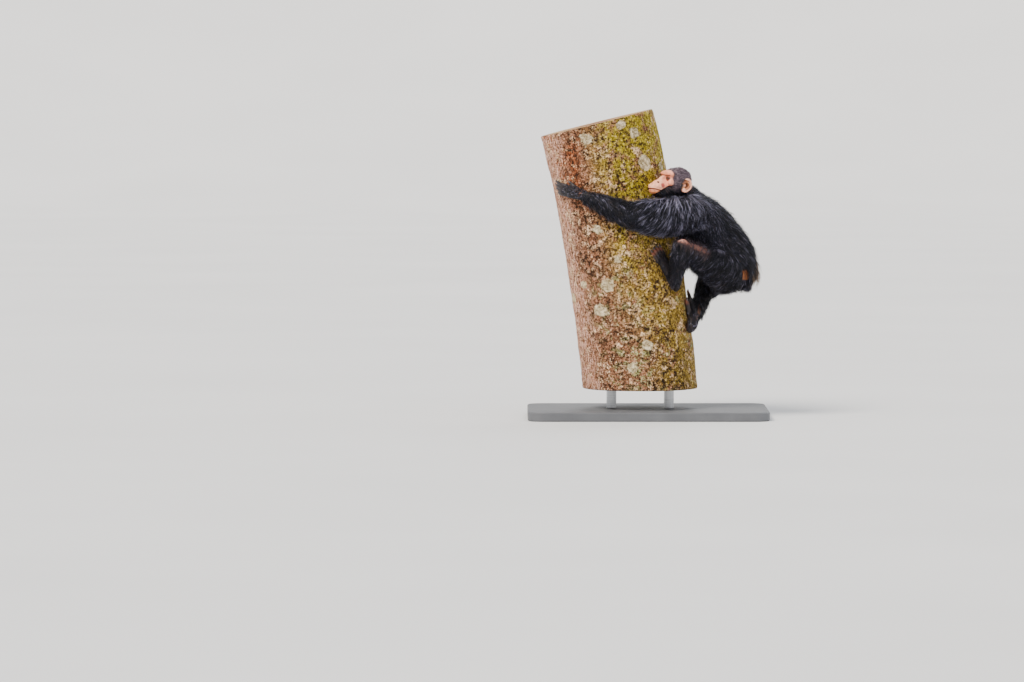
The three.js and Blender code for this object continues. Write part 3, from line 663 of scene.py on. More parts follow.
def skinTint(place):  # each region is painted over the last, where its share is more than none
    color = np.tile(hexColor(skinColors["under"]), (len(place["points"]), 1))

    def paint(name, share):
        color[:] = mix(color, np.array(hexColor(skinColors[name])), np.clip(share, 0, 1)[:, None])

    forward, left, up = place["head"][:, 0], np.abs(place["head"][:, 1]), place["head"][:, 2]
    face = place["face"]
    paint("scalp", smooth(10, 4, place["headNear"]) * smooth(-34, -8, up))
    paint("face", face)
    paint("muzzle", face * smooth(80, 96, forward) * 0.8)
    paint("chin", face * smooth(-40, -47, up))
    paint("brow", face * smooth(15, 19, up) * smooth(33, 27, up) * 0.8)
    # painted shade: a dark band across the face under the brow ridge
    paint("browShade", face * np.exp(-((up - 19.5) / 3.2) ** 2) * smooth(40, 33, left))
    # reddish cheek mark, darkened in part as painted shade of the fold from the nose
    mark = np.linalg.norm(np.stack([forward, left, up], 1) - cheekMark["at"], axis=1) / cheekMark["size"]
    paint("fold", face * smooth(1.6, 0.7, mark) * 0.9)
    turn, rise = mouthLine(place["head"])
    # the lips' colour along the line where they meet, partly painted shade of the groove between them
    paint("lip", face * np.exp(-((up - rise) / 3.0) ** 2) * smooth(1.4, 1.15, np.abs(turn)) * smooth(86, 92, forward))
    eyeAway = np.sqrt((forward - eye["forward"]) ** 2 + (left - eye["side"]) ** 2 + (up - eye["up"]) ** 2)
    paint("lid", face * smooth(13.0, 11.6, eyeAway))
    # painted shade: the nostril openings are painted near black
    for way in (1, -1):
        nostril = toEllipsoid(place["head"], nostrilAt(way), (4.6, 9, 4))
        paint("nostril", smooth(1.0, -0.4, nostril))
    onEar = smooth(3, 1, place["ear"])
    paint("earRim", onEar * smooth(14, 6, place["earFront"]))
    for way in (1, -1):
        q = toEar(place["head"], way)
        ring = np.sqrt((q[:, 0] / ear["broad"]) ** 2 + (q[:, 2] / ear["high"]) ** 2)
        inBowl = onEar * smooth(2.5, 0.5, q[:, 1] * way - 8 * (ring - 0.5))
        paint("earBowl", inBowl * smooth(0.92, 0.76, ring))
        # painted shade in the deep middle of the ear's bowl and along the fold inside its rim
        paint("earDeepShade", inBowl * (smooth(0.5, 0.3, ring) + np.exp(-((ring - 0.79) / 0.07) ** 2)) * 0.85)
    for name, far in place["paws"].items():
        # dark skin of the hands and feet; the feet's darker colour is partly painted shade
        paint("hand" if "hand" in name else "foot", smooth(6, 2, far))
        if "foot" in name:
            tips = np.array([tip[1] for tip, radius in paws[name][1]])
            near = np.min(np.linalg.norm(place["points"][:, None] - tips[None], axis=2), 1)
            paint("toe", smooth(26, 8, near))
    for name in ("knee", "kneecap", "ischium", "shin", "wrist"):
        paint(name, place[name])
    return color


skinPoints = meshPoints(skin)
skinPlace = bodyPlace(skinPoints)
addAttribute(skin, "skinColor", skinTint(skinPlace))
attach(skin, "root")
fleshNodes = [name for name in frame["nodes"] if not name.startswith(("eye_", "stand_", "perch_"))]
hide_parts(*fleshNodes)

# bare primate skin over soft tissue: matt, faintly damp, finely creased, so light softens at its edges
living, tree, where = newMaterial("bareSkin")
tint = addNode(tree, "ShaderNodeAttribute", {"attribute_name": "skinColor"})
mottle = addNode(tree, "ShaderNodeTexNoise", None, {"Vector": where, "Scale": 90, "Detail": 4})  # freckles, 10 mm
shade = addNode(tree, "ShaderNodeValToRGB", {"color_ramp": [(0.3, "#dccbc3"), (0.55, "#ffffff")]}, {"Fac": mottle})
mixed = addNode(tree, "ShaderNodeMix", {"data_type": "RGBA", "blend_type": "MULTIPLY"}, {0: 0.9, 6: tint, 7: shade})
creases = addNode(tree, "ShaderNodeTexVoronoi", {"feature": "DISTANCE_TO_EDGE"},
                  {"Vector": where, "Scale": 420})  # skin cells are drawn 2.4 mm wide, coarser than life, to show
bump = addNode(tree, "ShaderNodeBump", None, {"Height": creases, "Strength": 0.25, "Distance": 0.0008})
endMaterial(tree, {
    "Base Color": mixed.outputs[2], "Normal": bump, "Roughness": 0.5, "Subsurface Weight": 0.1,
    "Subsurface Scale": 0.004, "IOR": 1.4,
})
skin.data.materials.clear()
skin.data.materials.append(living)
print("stage: skin painted")

# eyes and nails
def roundBall(segments, rings):  # a unit ball with its poles on the first axis, in triangles
    turns = np.linspace(0, 2 * np.pi, segments, endpoint=False)
    rows = np.linspace(0, np.pi, rings + 1)[1:-1]
    points = [(1, 0, 0)] + [(math.cos(a), math.sin(a) * math.cos(b), math.sin(a) * math.sin(b))
                            for a in rows for b in turns] + [(-1, 0, 0)]
    quads, last = [], len(points) - 1
    for r in range(rings - 2):
        for i in range(segments):
            a, b = 1 + r * segments + i, 1 + r * segments + (i + 1) % segments
            quads.append((a, a + segments, b + segments, b))
    ends = [(0, 1 + i, 1 + (i + 1) % segments) for i in range(segments)]
    ends += [(last, last - segments + (i + 1) % segments, last - segments + i) for i in range(segments)]
    faces = [(q[0], q[1], q[2]) for q in quads] + [(q[0], q[2], q[3]) for q in quads] + ends
    return np.array(points, float), np.array(faces)


# a wet eye under its clear cornea: black pupil, warm brown iris, dark white of the eye, and a sharp highlight
eyeMaterial, tree, where = newMaterial("wetEye")
ring = addNode(tree, "ShaderNodeAttribute", {"attribute_name": "ring"}).outputs["Fac"]
streak = addNode(tree, "ShaderNodeTexNoise", None, {"Vector": where, "Scale": 900, "Detail": 2})  # iris rays, 1 mm
wobble = addNode(tree, "ShaderNodeMath", {"operation": "MULTIPLY_ADD"}, {0: streak, 1: 0.05, 2: ring})
eyeColor = addNode(tree, "ShaderNodeValToRGB", {"color_ramp": [
    (0.0, "#070504"), (0.25, "#0a0605"), (0.3, "#4a2812"), (0.5, "#5c3417"), (0.58, "#1c0e07"), (0.66, "#281812"),
    (1.0, "#35221b"),
]}, {"Fac": wobble})
endMaterial(tree, {
    "Base Color": eyeColor, "Roughness": 0.06, "IOR": 1.38, "Coat Weight": 0.5, "Coat Roughness": 0.03,
})
ballPoints, ballFaces = roundBall(32, 20)
off = np.hypot(ballPoints[:, 1], ballPoints[:, 2]) + (ballPoints[:, 0] < 0) * 2  # from the pupil's middle
bulge = 1 + 0.08 * np.exp(-(off / 0.5) ** 4)  # cornea
for side, way in (("left", 1), ("right", -1)):
    gaze = turnAbout("z", way * 6) @ turnAbout("y", 3)
    local = (ballPoints * bulge[:, None] * eye["radius"]) @ gaze.T
    local = local + [eye["forward"], way * eye["side"], eye["up"]]
    ball = makeObject("eyeball." + side, fromHead(local), ballFaces)
    addAttribute(ball, "ring", np.clip(off * 0.95, 0, 1))
    ball.data.materials.append(eyeMaterial)
    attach(ball, "root")
    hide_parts("eye_" + side)

# nails: thin domed plates on the backs of the fingers and toes, sized and placed in radii of the digit
nail = {"long": 0.95, "wide": 0.72, "high": 0.28, "bow": 0.5, "out": 0.58, "ahead": 0.1}
nailPoints, nailFaces = [], []
for name, (shapes, tips) in paws.items():
    for (tip, end, before), radius in tips:
        ahead = unit(np.array(end) - np.array(before))
        outward = unit(np.array([tip[0] - trunkAxis(tip[2]), tip[1], 0.0]))
        outward = unit(outward - ahead * (outward @ ahead))
        aside = np.cross(ahead, outward)
        plate, plateFaces = roundBall(12, 8)
        sized = plate * [radius * nail["long"], radius * nail["wide"], radius * nail["high"]]
        sized[:, 2] -= nail["bow"] * sized[:, 1] ** 2 / radius
        centre = np.array(end) + outward * radius * nail["out"] + ahead * radius * nail["ahead"]
        nailFaces.append(plateFaces + sum(len(p) for p in nailPoints))
        nailPoints.append(sized @ np.stack([ahead, aside, outward]) + centre)
nails = makeObject("nails", np.concatenate(nailPoints), np.concatenate(nailFaces))
# grown keratin: dark brown-grey, smooth, with a soft shine
keratin, tree, where = newMaterial("nailKeratin")
growth = addNode(tree, "ShaderNodeTexNoise", None, {"Vector": where, "Scale": 350, "Detail": 3})  # 3 mm clouds
nailColor = addNode(tree, "ShaderNodeValToRGB", {"color_ramp": [(0.35, "#2c2220"), (0.65, "#54433c")]},
                    {"Fac": growth})
endMaterial(tree, {"Base Color": nailColor, "Roughness": 0.32, "IOR": 1.54})
nails.data.materials.append(keratin)
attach(nails, "root")
print("stage: eyes and nails")

# coat: tapered tufts that start in the skin and run over it to the coat's depth
fur = {
    "count": 92000, "perPiece": 12000, "steps": 3,
    # size of a clump, how far it gathers, depth of the root, clearance of the bark, and share of loose hairs
    "clump": 9.0, "gather": 0.55, "sink": 1.5, "clear": 2.0, "flyaway": 0.2,
    "widths": (0.75, 1.0, 0.62), "thin": 0.8, "perLength": 0.012,  # a long tuft is wider, and each tapers to its tip
    # light is the colour of the light strands, painted highlights of the coat's sheen
    "dark": "#0a0c12", "mid": "#282a38", "light": "#b3b0cc", "head": "#88747f", "headLight": "#cbb4bb",
    "jaw": "#1b1a20", "knee": "#57474a", "rump": "#c4a688",
}
hairGrid = bodyField.copy()
axes = [bodyLow[k] + skinCell["body"] * np.arange(hairGrid.shape[k]) for k in range(3)]
for (low, high), distance in [
    ((headBox.min(0) - 30, headBox.max(0) + 30), lambda p: headField(toHead(p), False)),
    *[(boxOf(shapes, 25), lambda p, shapes=shapes: pawDistance(shapes, p)) for shapes, tips in paws.values()],
]:
    cut = tuple(slice(*np.clip(np.searchsorted(axes[k], (low[k], high[k])), 0, len(axes[k]))) for k in range(3))
    values = distance(gridPoints([axes[k][cut[k]] for k in range(3)]))
    hairGrid[cut] = np.minimum(hairGrid[cut], values.reshape(hairGrid[cut].shape))
hairSlopes = np.gradient(hairGrid, skinCell["body"])


def atGrid(grids, points):  # each grid's value between its eight nearest samples
    x = np.clip((points - bodyLow) / skinCell["body"], 0, np.array(hairGrid.shape) - 1.001)
    i = x.astype(int)
    s = x - i
    found = [0.0] * len(grids)
    for corner in range(8):
        a = [(corner >> k) & 1 for k in range(3)]
        share = np.prod([s[:, k] if a[k] else 1 - s[:, k] for k in range(3)], 0)
        for n, grid in enumerate(grids):
            found[n] = found[n] + share * grid[i[:, 0] + a[0], i[:, 1] + a[1], i[:, 2] + a[2]]
    return found


def skinRoots(count):  # thin on ears, knees and other bare places, none on the face or against the bark
    mesh = skin.data
    mesh.calc_loop_triangles()
    corners = np.empty(len(mesh.loop_triangles) * 3, np.int32)
    mesh.loop_triangles.foreach_get("vertices", corners)
    corners = corners.reshape(-1, 3)
    a, b, c = (skinPoints[corners[:, k]] for k in range(3))
    area = np.linalg.norm(np.cross(b - a, c - a), axis=1) / 2
    thick = (1 - skinPlace["face"]) * np.where(skinPlace["ear"] < 3, 0.02, 1)
    for name, bare in (("knee", 0.7), ("kneecap", 0.9), ("ischium", 0.97), ("shin", 0.8), ("wrist", 0.6)):
        thick = thick * (1 - bare * skinPlace[name])
    thick = thick * np.where(skinPlace["headNear"] < 6, 1.8, 1.0)
    for name, far in skinPlace["paws"].items():
        shapes, tips = paws[name]
        onPad = nearLength(shapes[0], skinPoints)[0] < 1.2
        outward = barkDistance(skinPoints) > 16
        thick = np.where(far < 3, np.where(onPad & outward, 0.8, 0.02), thick)
    thick = thick * (barkDistance(skinPoints) > 1.0)
    weight = area * thick[corners].mean(1)
    pick = rng.choice(len(weight), count, p=weight / weight.sum())
    u, v = rng.random(count), rng.random(count)
    flip = u + v > 1
    u[flip], v[flip] = 1 - u[flip], 1 - v[flip]
    return a[pick] + u[:, None] * (b[pick] - a[pick]) + v[:, None] * (c[pick] - a[pick])


roots = skinRoots(fur["count"])
rootPlace = bodyPlace(roots)


def hairFacts(place):  # the way that hair lies at each root, its length and what else the coat's table says
    count = len(place["points"])
    weights = np.exp(-np.clip(place["near"], -5, 80) / 6.0)
    total = weights.sum(1) + 1e-9
    facts = {key: np.zeros(count) for key in ("long", "height", "light", "tone", "hang")}
    lie = np.zeros((count, 3))
    for i, name in enumerate(place["names"]):
        part, form = lengths[name], coat[name.split(".")[0]]
        w = weights[:, i] / total
        t = part["t"][place["which"][:, i]]
        along = part["along"][place["which"][:, i]]
        ahead = form["along"] * np.ones(count)
        hairLong = form["hair"] * np.ones(count)
        if name.startswith("upperArm"):  # the shoulder's hair fans out, back over the shoulder and on to the elbow
            ahead = -0.5 + 1.5 * smooth(0.1, 0.75, t)
        if name.startswith("forearm"):
            hairLong = hairLong * (1 - 0.55 * smooth(0.5, 1.0, t))
            ahead = ahead * (1 - 0.5 * smooth(0.75, 1.0, t))
        if name == "torsoLower":
            hairLong = hairLong * (1 - 0.35 * smooth(0.72, 0.95, t))
        lie += unit(along * ahead[:, None] + downWay * form["fall"]) * w[:, None]
        facts["long"] += hairLong * w
        facts["height"] += part["coat"][place["which"][:, i]] * w
        for key in ("light", "tone", "hang"):
            # the upper arm's painted highlight strands, painted light and hang fade towards the elbow
            facts[key] += form[key] * w * ((1 - 0.35 * smooth(0.4, 1.0, t)) if name.startswith("upperArm") else 1)
    onHead = smooth(9, 2, place["headNear"])
    forward, left, up = place["head"].T
    back = np.stack([-1 + 0.4 * smooth(-10, -35, up), 0.25 * np.sign(left), -0.35 - 0.5 * smooth(5, -30, up)], 1)
    lie = mix(lie, unit(back) @ headAxes.T, onHead[:, None])
    overEar = smooth(18, 8, place["ear"]) * (place["earFront"] > 6)  # hair in front of the ear lies over its edge
    onHeadFacts = {
        "long": 16 + 12 * smooth(0, -28, up) + 7 * smooth(20, -30, forward) + 6 * overEar,
        "height": head["coat"] + 2.5 * smooth(-5, -30, up) + 6 * overEar, "tone": 1.0,
        "hang": 3 + 12 * smooth(-15, -38, up),
    }
    for key, value in onHeadFacts.items():
        facts[key] = mix(facts[key], value, onHead)
    for name, far in place["paws"].items():
        near, pad = smooth(7, 1, far), paws[name][0][0]["centres"]
        lie = mix(lie, unit(pad[-1] - pad[0]), near[:, None])
        for key, value in (("long", 9 if "hand" in name else 11), ("height", 2.5), ("hang", 0)):
            facts[key] = mix(facts[key], value, near)
    facts["height"] += 24 * place["chest"] * (1 - onHead)
    facts["height"] *= 1 - 0.8 * place["rumpCorner"]
    facts["hang"] *= 1 - 0.9 * place["rumpCorner"]
    facts["long"] *= (1 - 0.55 * place["knee"]) * (1 - 0.4 * place["shin"]) * (1 + 1.0 * place["rump"])
    return unit(lie), facts, onHead


lie, facts, onHead = hairFacts(rootPlace)
# clumps: the roots in each cell of a grid lean towards their own middle
cells = np.floor(roots / fur["clump"]).astype(int)
key = (cells[:, 0] * 73856093) ^ (cells[:, 1] * 19349663) ^ (cells[:, 2] * 83492791)  # one number for each cell
unique, clump = np.unique(key, return_inverse=True)
clumpDraw = rng.random((len(unique), 6))[clump]
clumpSum = np.zeros((len(unique), 3))
np.add.at(clumpSum, clump, roots)
pull = (clumpSum / np.bincount(clump)[:, None])[clump] - roots
pull = pull * (1 - 0.65 * onHead[:, None])
draws = rng.random((len(roots), 6))
# length and lie differ a little from clump to clump, and again from tuft to tuft
size = facts["long"] * (0.72 + 0.5 * draws[:, 0]) * (0.85 + 0.3 * clumpDraw[:, 0])
lie = unit(lie + (clumpDraw[:, 1:4] - 0.5) * 0.5 + (draws[:, 1:4] - 0.5) * 0.35)

# each tuft goes its way over the skin in a few steps, rises to its height there, and keeps off the bark
steps = fur["steps"]
normal = unit(np.stack(atGrid(hairSlopes, roots), 1))
point = roots.copy()
rows = [roots - normal * fur["sink"]]
# how high each tuft rises, with some loose ones, and how far it hangs where the skin faces down
top = facts["height"] * (0.55 + 0.5 * draws[:, 4]) * (0.8 + 0.35 * clumpDraw[:, 4])
top = top * np.where(draws[:, 5] < fur["flyaway"], 1.55, 1) * (1 + 1.8 * rootPlace["rump"] * draws[:, 2])
under = facts["hang"] * smooth(-0.1, -0.75, normal[:, 2]) * (0.2 + 1.2 * clumpDraw[:, 3])
for k in range(1, steps + 1):
    share = k / steps
    slopes = unit(np.stack(atGrid(hairSlopes, point), 1))
    way = unit(lie - slopes * (lie * slopes).sum(1)[:, None])
    point = point + way * (size / steps)[:, None] + pull * fur["gather"] / steps
    slopes = unit(np.stack(atGrid(hairSlopes, point), 1))
    want = top * (0.25 + 0.75 * share ** 0.8) + under * share ** 1.5
    far = atGrid([hairGrid], point)[0]
    point = point + slopes * np.clip(want - far, -12, 14)[:, None]
    bark = barkDistance(point)
    fromAxis = unit(np.stack([point[:, 0] - trunkAxis(point[:, 2]), point[:, 1], 0 * point[:, 0]], 1))
    point = point + fromAxis * np.maximum(fur["clear"] - bark, 0)[:, None]
    rows.append(point.copy())
# no hair lies over the bare patches of the rump
(x, z), end, patch = markings["ischium"][:3]
over = np.min([np.hypot(row[:, 0] - x, row[:, 2] - z) for row in rows[1:]], 0) < patch * (0.7 + 0.35 * draws[:, 3])
kept = np.flatnonzero(~over | (draws[:, 0] < 0.12))
print("stage: hair grown", len(kept))

# colour of each tuft: dark guard hair, lit and shaded by part with painted light and shade, with grey light strands
# painted as the sheen's highlights, grey-lilac head, pale rump tuft
tint = np.tile(hexColor(fur["dark"])[:3], (len(roots), 1))


def dye(name, share):
    tint[:] = mix(tint, np.array(hexColor(fur[name])[:3]), np.clip(share, 0, 1)[:, None])


mixture = clumpDraw[:, 5] * 0.5 + draws[:, 5] * 0.5
dye("mid", smooth(0.1, 0.85, clumpDraw[:, 5] * 0.6 + draws[:, 5] * 0.4))
# painted light and shade: the coat is lightened on the lit shoulders and arms and darkened on the shaded lower body
# and legs
tint = tint * facts["tone"][:, None]
# light strands: painted highlights of the coat's sheen, strongest where the painted light is strongest
dye("light", (mixture > 1 - 0.75 * facts["light"]) * (0.3 + 0.6 * draws[:, 2]) * (0.45 + 0.4 * facts["tone"]))
dye("head", onHead * (0.5 + 0.3 * draws[:, 5] + 0.25 * clumpDraw[:, 5]))
dye("headLight", onHead * (draws[:, 5] > 0.7) * 0.7)
dye("jaw", onHead * smooth(-14, -34, rootPlace["head"][:, 2]))
dye("knee", np.maximum(rootPlace["knee"], rootPlace["kneecap"]) * 0.8)
dye("rump", rootPlace["rump"] * 1.5 - 0.3 + 0.9 * (draws[:, 5] - 0.5))

# where each root lies on an unwrap of the skin: one field of the map for each length, the head and each paw, with
# the head and the paws preferred by a few mm where they meet a length
fieldNames = list(lengths) + ["head"] + list(paws)
nearAll = np.concatenate([rootPlace["near"], (rootPlace["headNear"] - 3)[:, None],
                          np.stack([rootPlace["paws"][name] - 2 for name in paws], 1)], 1)
own = nearAll.argmin(1)
bake = np.zeros((len(roots), 2))
for i, name in enumerate(fieldNames):
    mine = own == i
    if not mine.any():
        continue
    if name == "head":
        p = rootPlace["head"][mine]
        away = unit(p - [20, 0, -5])
        u = np.arctan2(away[:, 1], away[:, 2]) / (2 * np.pi) + 0.5
        v = np.arccos(np.clip(away[:, 0], -1, 1)) / np.pi
    else:
        part = lengths[name] if name in lengths else paws[name][0][0]
        which = rootPlace["which"][mine, i] if name in lengths else nearLength(part, roots[mine])[1]
        local = np.einsum("ij,ijk->ik", roots[mine] - part["centres"][which], part["axes"][which])
        u = np.arctan2(local[:, 1], local[:, 0]) / (2 * np.pi) + 0.5
        v = part["t"][which] + local[:, 2] / 400
    bake[mine] = (np.stack([u, v], 1).clip(0, 1) * 0.94 + 0.03 + [i % 4, i // 4]) / 4

# hair shafts: dark and smooth, so a tuft shines softly along its length; its tint runs from root to tip, darkened
# towards the root as painted shade within the coat
hairMaterial, tree, where = newMaterial("guardHair")
hairTint = addNode(tree, "ShaderNodeAttribute", {"attribute_name": "hairColor"})
strand = addNode(tree, "ShaderNodeTexNoise", None, {"Vector": where, "Scale": 260, "Detail": 2})  # 4 mm patches
strandShade = addNode(tree, "ShaderNodeValToRGB", {"color_ramp": [(0.3, "#a9a7ad"), (0.62, "#ffffff")]},
                      {"Fac": strand})
strandMix = addNode(tree, "ShaderNodeMix", {"data_type": "RGBA", "blend_type": "MULTIPLY"},
                    {0: 1.0, 6: hairTint, 7: strandShade})
endMaterial(tree, {
    "Base Color": strandMix.outputs[2], "Roughness": 0.42, "IOR": 1.55, "Specular IOR Level": 0.22,
    "Sheen Weight": 0.1, "Sheen Roughness": 0.35, "Sheen Tint": hexColor("#8f90b8"),
})

wide = (fur["thin"] + fur["perLength"] * size) * (0.8 + 0.4 * draws[:, 1])


def growPiece(name, pick):  # a tuft has three corners at each step and one tip
    n, corners = len(pick), 3 * steps + 1
    points, colors, uv = np.zeros((n, corners, 3)), np.ones((n, corners, 4)), np.zeros((n, corners, 2))
    for k in range(steps):
        here, ahead = rows[k][pick], unit(rows[k + 1][pick] - rows[k][pick])
        aside = unit(np.cross(ahead, normal[pick]))
        out = np.cross(aside, ahead)
        half = (wide[pick] * fur["widths"][k])[:, None]
        for j, (a, o) in enumerate(((-1, -0.15), (1, -0.15), (0, 0.42))):
            points[:, 3 * k + j] = here + aside * half * a + out * half * o
            # painted shade: each tuft is darkest at its root and lightens step by step to its tip
            colors[:, 3 * k + j, :3] = tint[pick] * (0.5 + 0.25 * k)
            uv[:, 3 * k + j] = bake[pick] + [0.0015 * a, 0.003 * k / steps]
    points[:, -1] = rows[steps][pick]
    colors[:, -1, :3] = tint[pick] * 1.25
    uv[:, -1] = bake[pick] + [0, 0.003]
    one = [(0, 2, 1)]
    for k in range(steps):
        for j in range(3):
            a, b = 3 * k + j, 3 * k + (j + 1) % 3
            one += [(a, b, b + 3), (a, b + 3, a + 3)] if k < steps - 1 else [(a, b, 3 * steps)]
    faces = (np.array(one)[None] + corners * np.arange(n)[:, None, None]).reshape(-1, 3)
    piece = makeObject(name, points.reshape(-1, 3), faces)
    addAttribute(piece, "hairColor", colors.reshape(-1, 4))
    layer = piece.data.uv_layers.new(name="OFBake")
    layer.data.foreach_set("uv", uv.reshape(-1, 2)[faces.ravel()].astype(np.float32).ravel())
    piece.data.materials.append(hairMaterial)
    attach(piece, "root")


region = np.array(fieldNames)[own]
for name in sorted(set(region)):
    mine = kept[region[kept] == name]
    pieces = int(np.ceil(len(mine) / fur["perPiece"]))
    for i, share in enumerate(np.array_split(mine, pieces)):
        growPiece("coat." + name + ("." + str(i + 1) if pieces > 1 else ""), share)
print("stage: coat made", len(kept), "tufts")

# trunk: bark with lichen and moss over the source's log, and a sawn top
bark = {
    "around": 300, "rows": 310, "capRings": 14, "rough": 1.6, "lump": 2.4, "ridge": 0.9, "lichenHigh": 0.9,
    "worn": 2.5,  # how far the bark is rounded off at both cuts
    # round lichens: degrees round from +X, height, radius, and how ragged the edge is
    "discs": [(-48, 1001, 30, 0.12), (-53, 1112, 20, 0.4), (-67, 1150, 18, 0.5), (-104, 1130, 24, 0.6),
              (-112, 760, 18, 0.5), (-111, 537, 27, 0.45), (-123, 437, 26, 0.5), (-140, 537, 16, 0.5),
              (-98, 640, 14, 0.5), (-80, 300, 22, 0.5), (-95, 210, 22, 0.5), (-150, 960, 16, 0.5),
              (20, 800, 24, 0.4), (80, 1000, 28, 0.5), (150, 700, 26, 0.5), (110, 500, 22, 0.5),
              (60, 350, 20, 0.5), (170, 1060, 24, 0.4), (-20, 980, 18, 0.5), (-165, 480, 22, 0.5)],
    # mottled fields, by scale per metre, detail and roughness
    "fields": {
        "fleck": (95, 5, 0.75), "streak": (110, 4, 0.7), "patch": (12, 6, 0.65),  # 11, 9 and 83 mm
        "crust": (24, 9, 0.8), "greenCrust": (30, 9, 0.78), "moss": (16, 9, 0.75),  # 42, 33 and 62 mm
        "pitShade": (165, 3, 0.7), "speck": (60, 6, 0.8), "island": (21, 9, 0.78),  # 6, 17 and 48 mm
    },
}
# What lies on the bark, from the bottom layer up: its hues by the field that mottles it, fleck if none is named, and
# the fields that it keeps to, from none to all of it. Aside is how far a place is from the trunk's middle, in metres.
barkLayers = [
    {"hues": [(0.34, "#25160b"), (0.44, "#5f3b25"), (0.54, "#9b6b4f"), (0.7, "#cf9f86")], "over": []},
    {"hues": [(0.35, "#4f1f0a"), (0.5, "#98451a"), (0.66, "#c87a4b")],  # rusty alga, high on the far side
     "over": [("aside", -0.05, -0.17), ("height", 0.78, 0.98), ("patch", 0.44, 0.56)]},
    {"hues": [(0.34, "#5c3826"), (0.48, "#b58268"), (0.64, "#e3b9a5")], "mottle": "streak",
     "over": [("aside", -0.13, -0.2), ("streak", 0.36, 0.5)]},  # smooth pinkish bark
    {"hues": [(0.40, "#6b4a2e"), (0.47, "#c49c76"), (0.58, "#ffdcb6")], "over": [("crust", 0.53, 0.58)]},
    {"hues": [(0.38, "#4a4b24"), (0.5, "#a3a169"), (0.64, "#e2deb0")],  # grey-green crusts, lower down
     "over": [("height", 0.72, 0.5), ("greenCrust", 0.5, 0.57), ("aside", -0.2, -0.02)]},
    {"hues": [(0.36, "#3b3004"), (0.45, "#84710c"), (0.56, "#b8a42b"), (0.7, "#dfd07a")],  # yellow-green moss
     "over": [("aside", -0.10, 0.05), ("height", 0.2, 0.85), ("moss", 0.38, 0.52)]},
    {"hues": [(0.37, "#40310a"), (0.5, "#8e7022"), (0.64, "#cfb05f")],  # browner moss, lower down on the right
     "over": [("aside", 0.0, 0.12), ("height", 0.98, 0.6), ("moss", 0.38, 0.52)]},
    {"hues": [(0.40, "#7c6a48"), (0.48, "#cda67c"), (0.58, "#ffdcae")],  # cream crusts that break up the moss
     "over": [("aside", -0.12, 0.0), ("island", 0.545, 0.585)]},
    {"hues": [(0.38, "#6b5a3c"), (0.48, "#b09f7a"), (0.6, "#e6d6b2")], "mottle": "speck",
     "over": [("disc", 0.25, 0.6), ("fleck", 0.36, 0.46)]},
    # painted shade: dark specks for the bark's small pits, off the lichen discs and fading out towards the trunk's
    # sides
    {"hues": [(0.4, "#160d06"), (0.6, "#38220f")],
     "over": [("speck", 0.49, 0.56), ("patch", 0.40, 0.53), ("disc", 1, 0.2), ("edge", 0.215, 0.15)]},
    # painted shade: the bark's pits painted near black, off the lichen discs
    {"hues": [(0.4, "#1b110a"), (0.6, "#3f2814")], "over": [("pitShade", 0.52, 0.58), ("disc", 1.6, 0)]},
]
angle = np.radians(np.linspace(-180, 180, bark["around"], endpoint=False))
share = np.linspace(0, 1, bark["rows"])
turn, up = np.meshgrid(angle, share)
z = trunk["bottom"] + up * (trunk["top"] - trunk["bottom"])
lean = trunk["lean"] - 2 * trunk["bow"] * (trunk["levelZ"] - z)
cutTilt = np.arctan(lean) * up ** 3
radius = trunkRadius(turn, z)
relief, ragged = np.empty(turn.size), np.empty(turn.size)
for i, (a, h) in enumerate(zip(turn.ravel(), z.ravel())):
    spot = Vector((math.cos(a) * 2.3, math.sin(a) * 2.3, h / 100))
    relief[i] = (bark["rough"] * noise.fractal(spot * 5, 0.7, 2.1, 3) + bark["lump"] * noise.noise(spot * 0.9)
                 - bark["ridge"] * max(0.0, noise.noise(Vector((spot.x * 9, spot.y * 9, spot.z * 1.4)))))
    ragged[i] = noise.fractal(spot * 3.1 + Vector((5, 9, 2)), 0.9, 2.2, 4)
relief, ragged = relief.reshape(turn.shape), ragged.reshape(turn.shape)
disc = np.zeros_like(relief)
for degrees, level, reach, wild in bark["discs"]:
    offAround = (np.degrees(turn) - degrees + 180) % 360 - 180
    away = np.hypot(offAround * trunk["radius"] * np.pi / 180, z - level)
    disc = np.maximum(disc, smooth(reach * 1.08, reach * 0.9, away * (1 + wild * ragged)))
relief = relief + bark["lichenHigh"] * disc
edge = np.minimum(smooth(0, 0.006, up), smooth(1, 0.994, up))
radius = radius + np.clip(relief, -4, 4) - bark["worn"] * (1 - edge)
log = np.stack([trunkAxis(z) + radius * np.cos(turn) * np.cos(cutTilt), radius * np.sin(turn),
                z + radius * np.cos(turn) * np.sin(cutTilt)], -1).reshape(-1, 3)
n, m, rings = bark["around"], bark["rows"], bark["capRings"]
i, j = np.meshgrid(np.arange(n), np.arange(m - 1))
a, b = (j * n + i).ravel(), (j * n + (i + 1) % n).ravel()
logFaces = [np.stack([a, b, b + n], 1), np.stack([a, b + n, a + n], 1)]
capPoints, grain = [log], [np.ones(n * m)]  # grain runs from 0 at the pith to 1 at the bark
start = len(log)
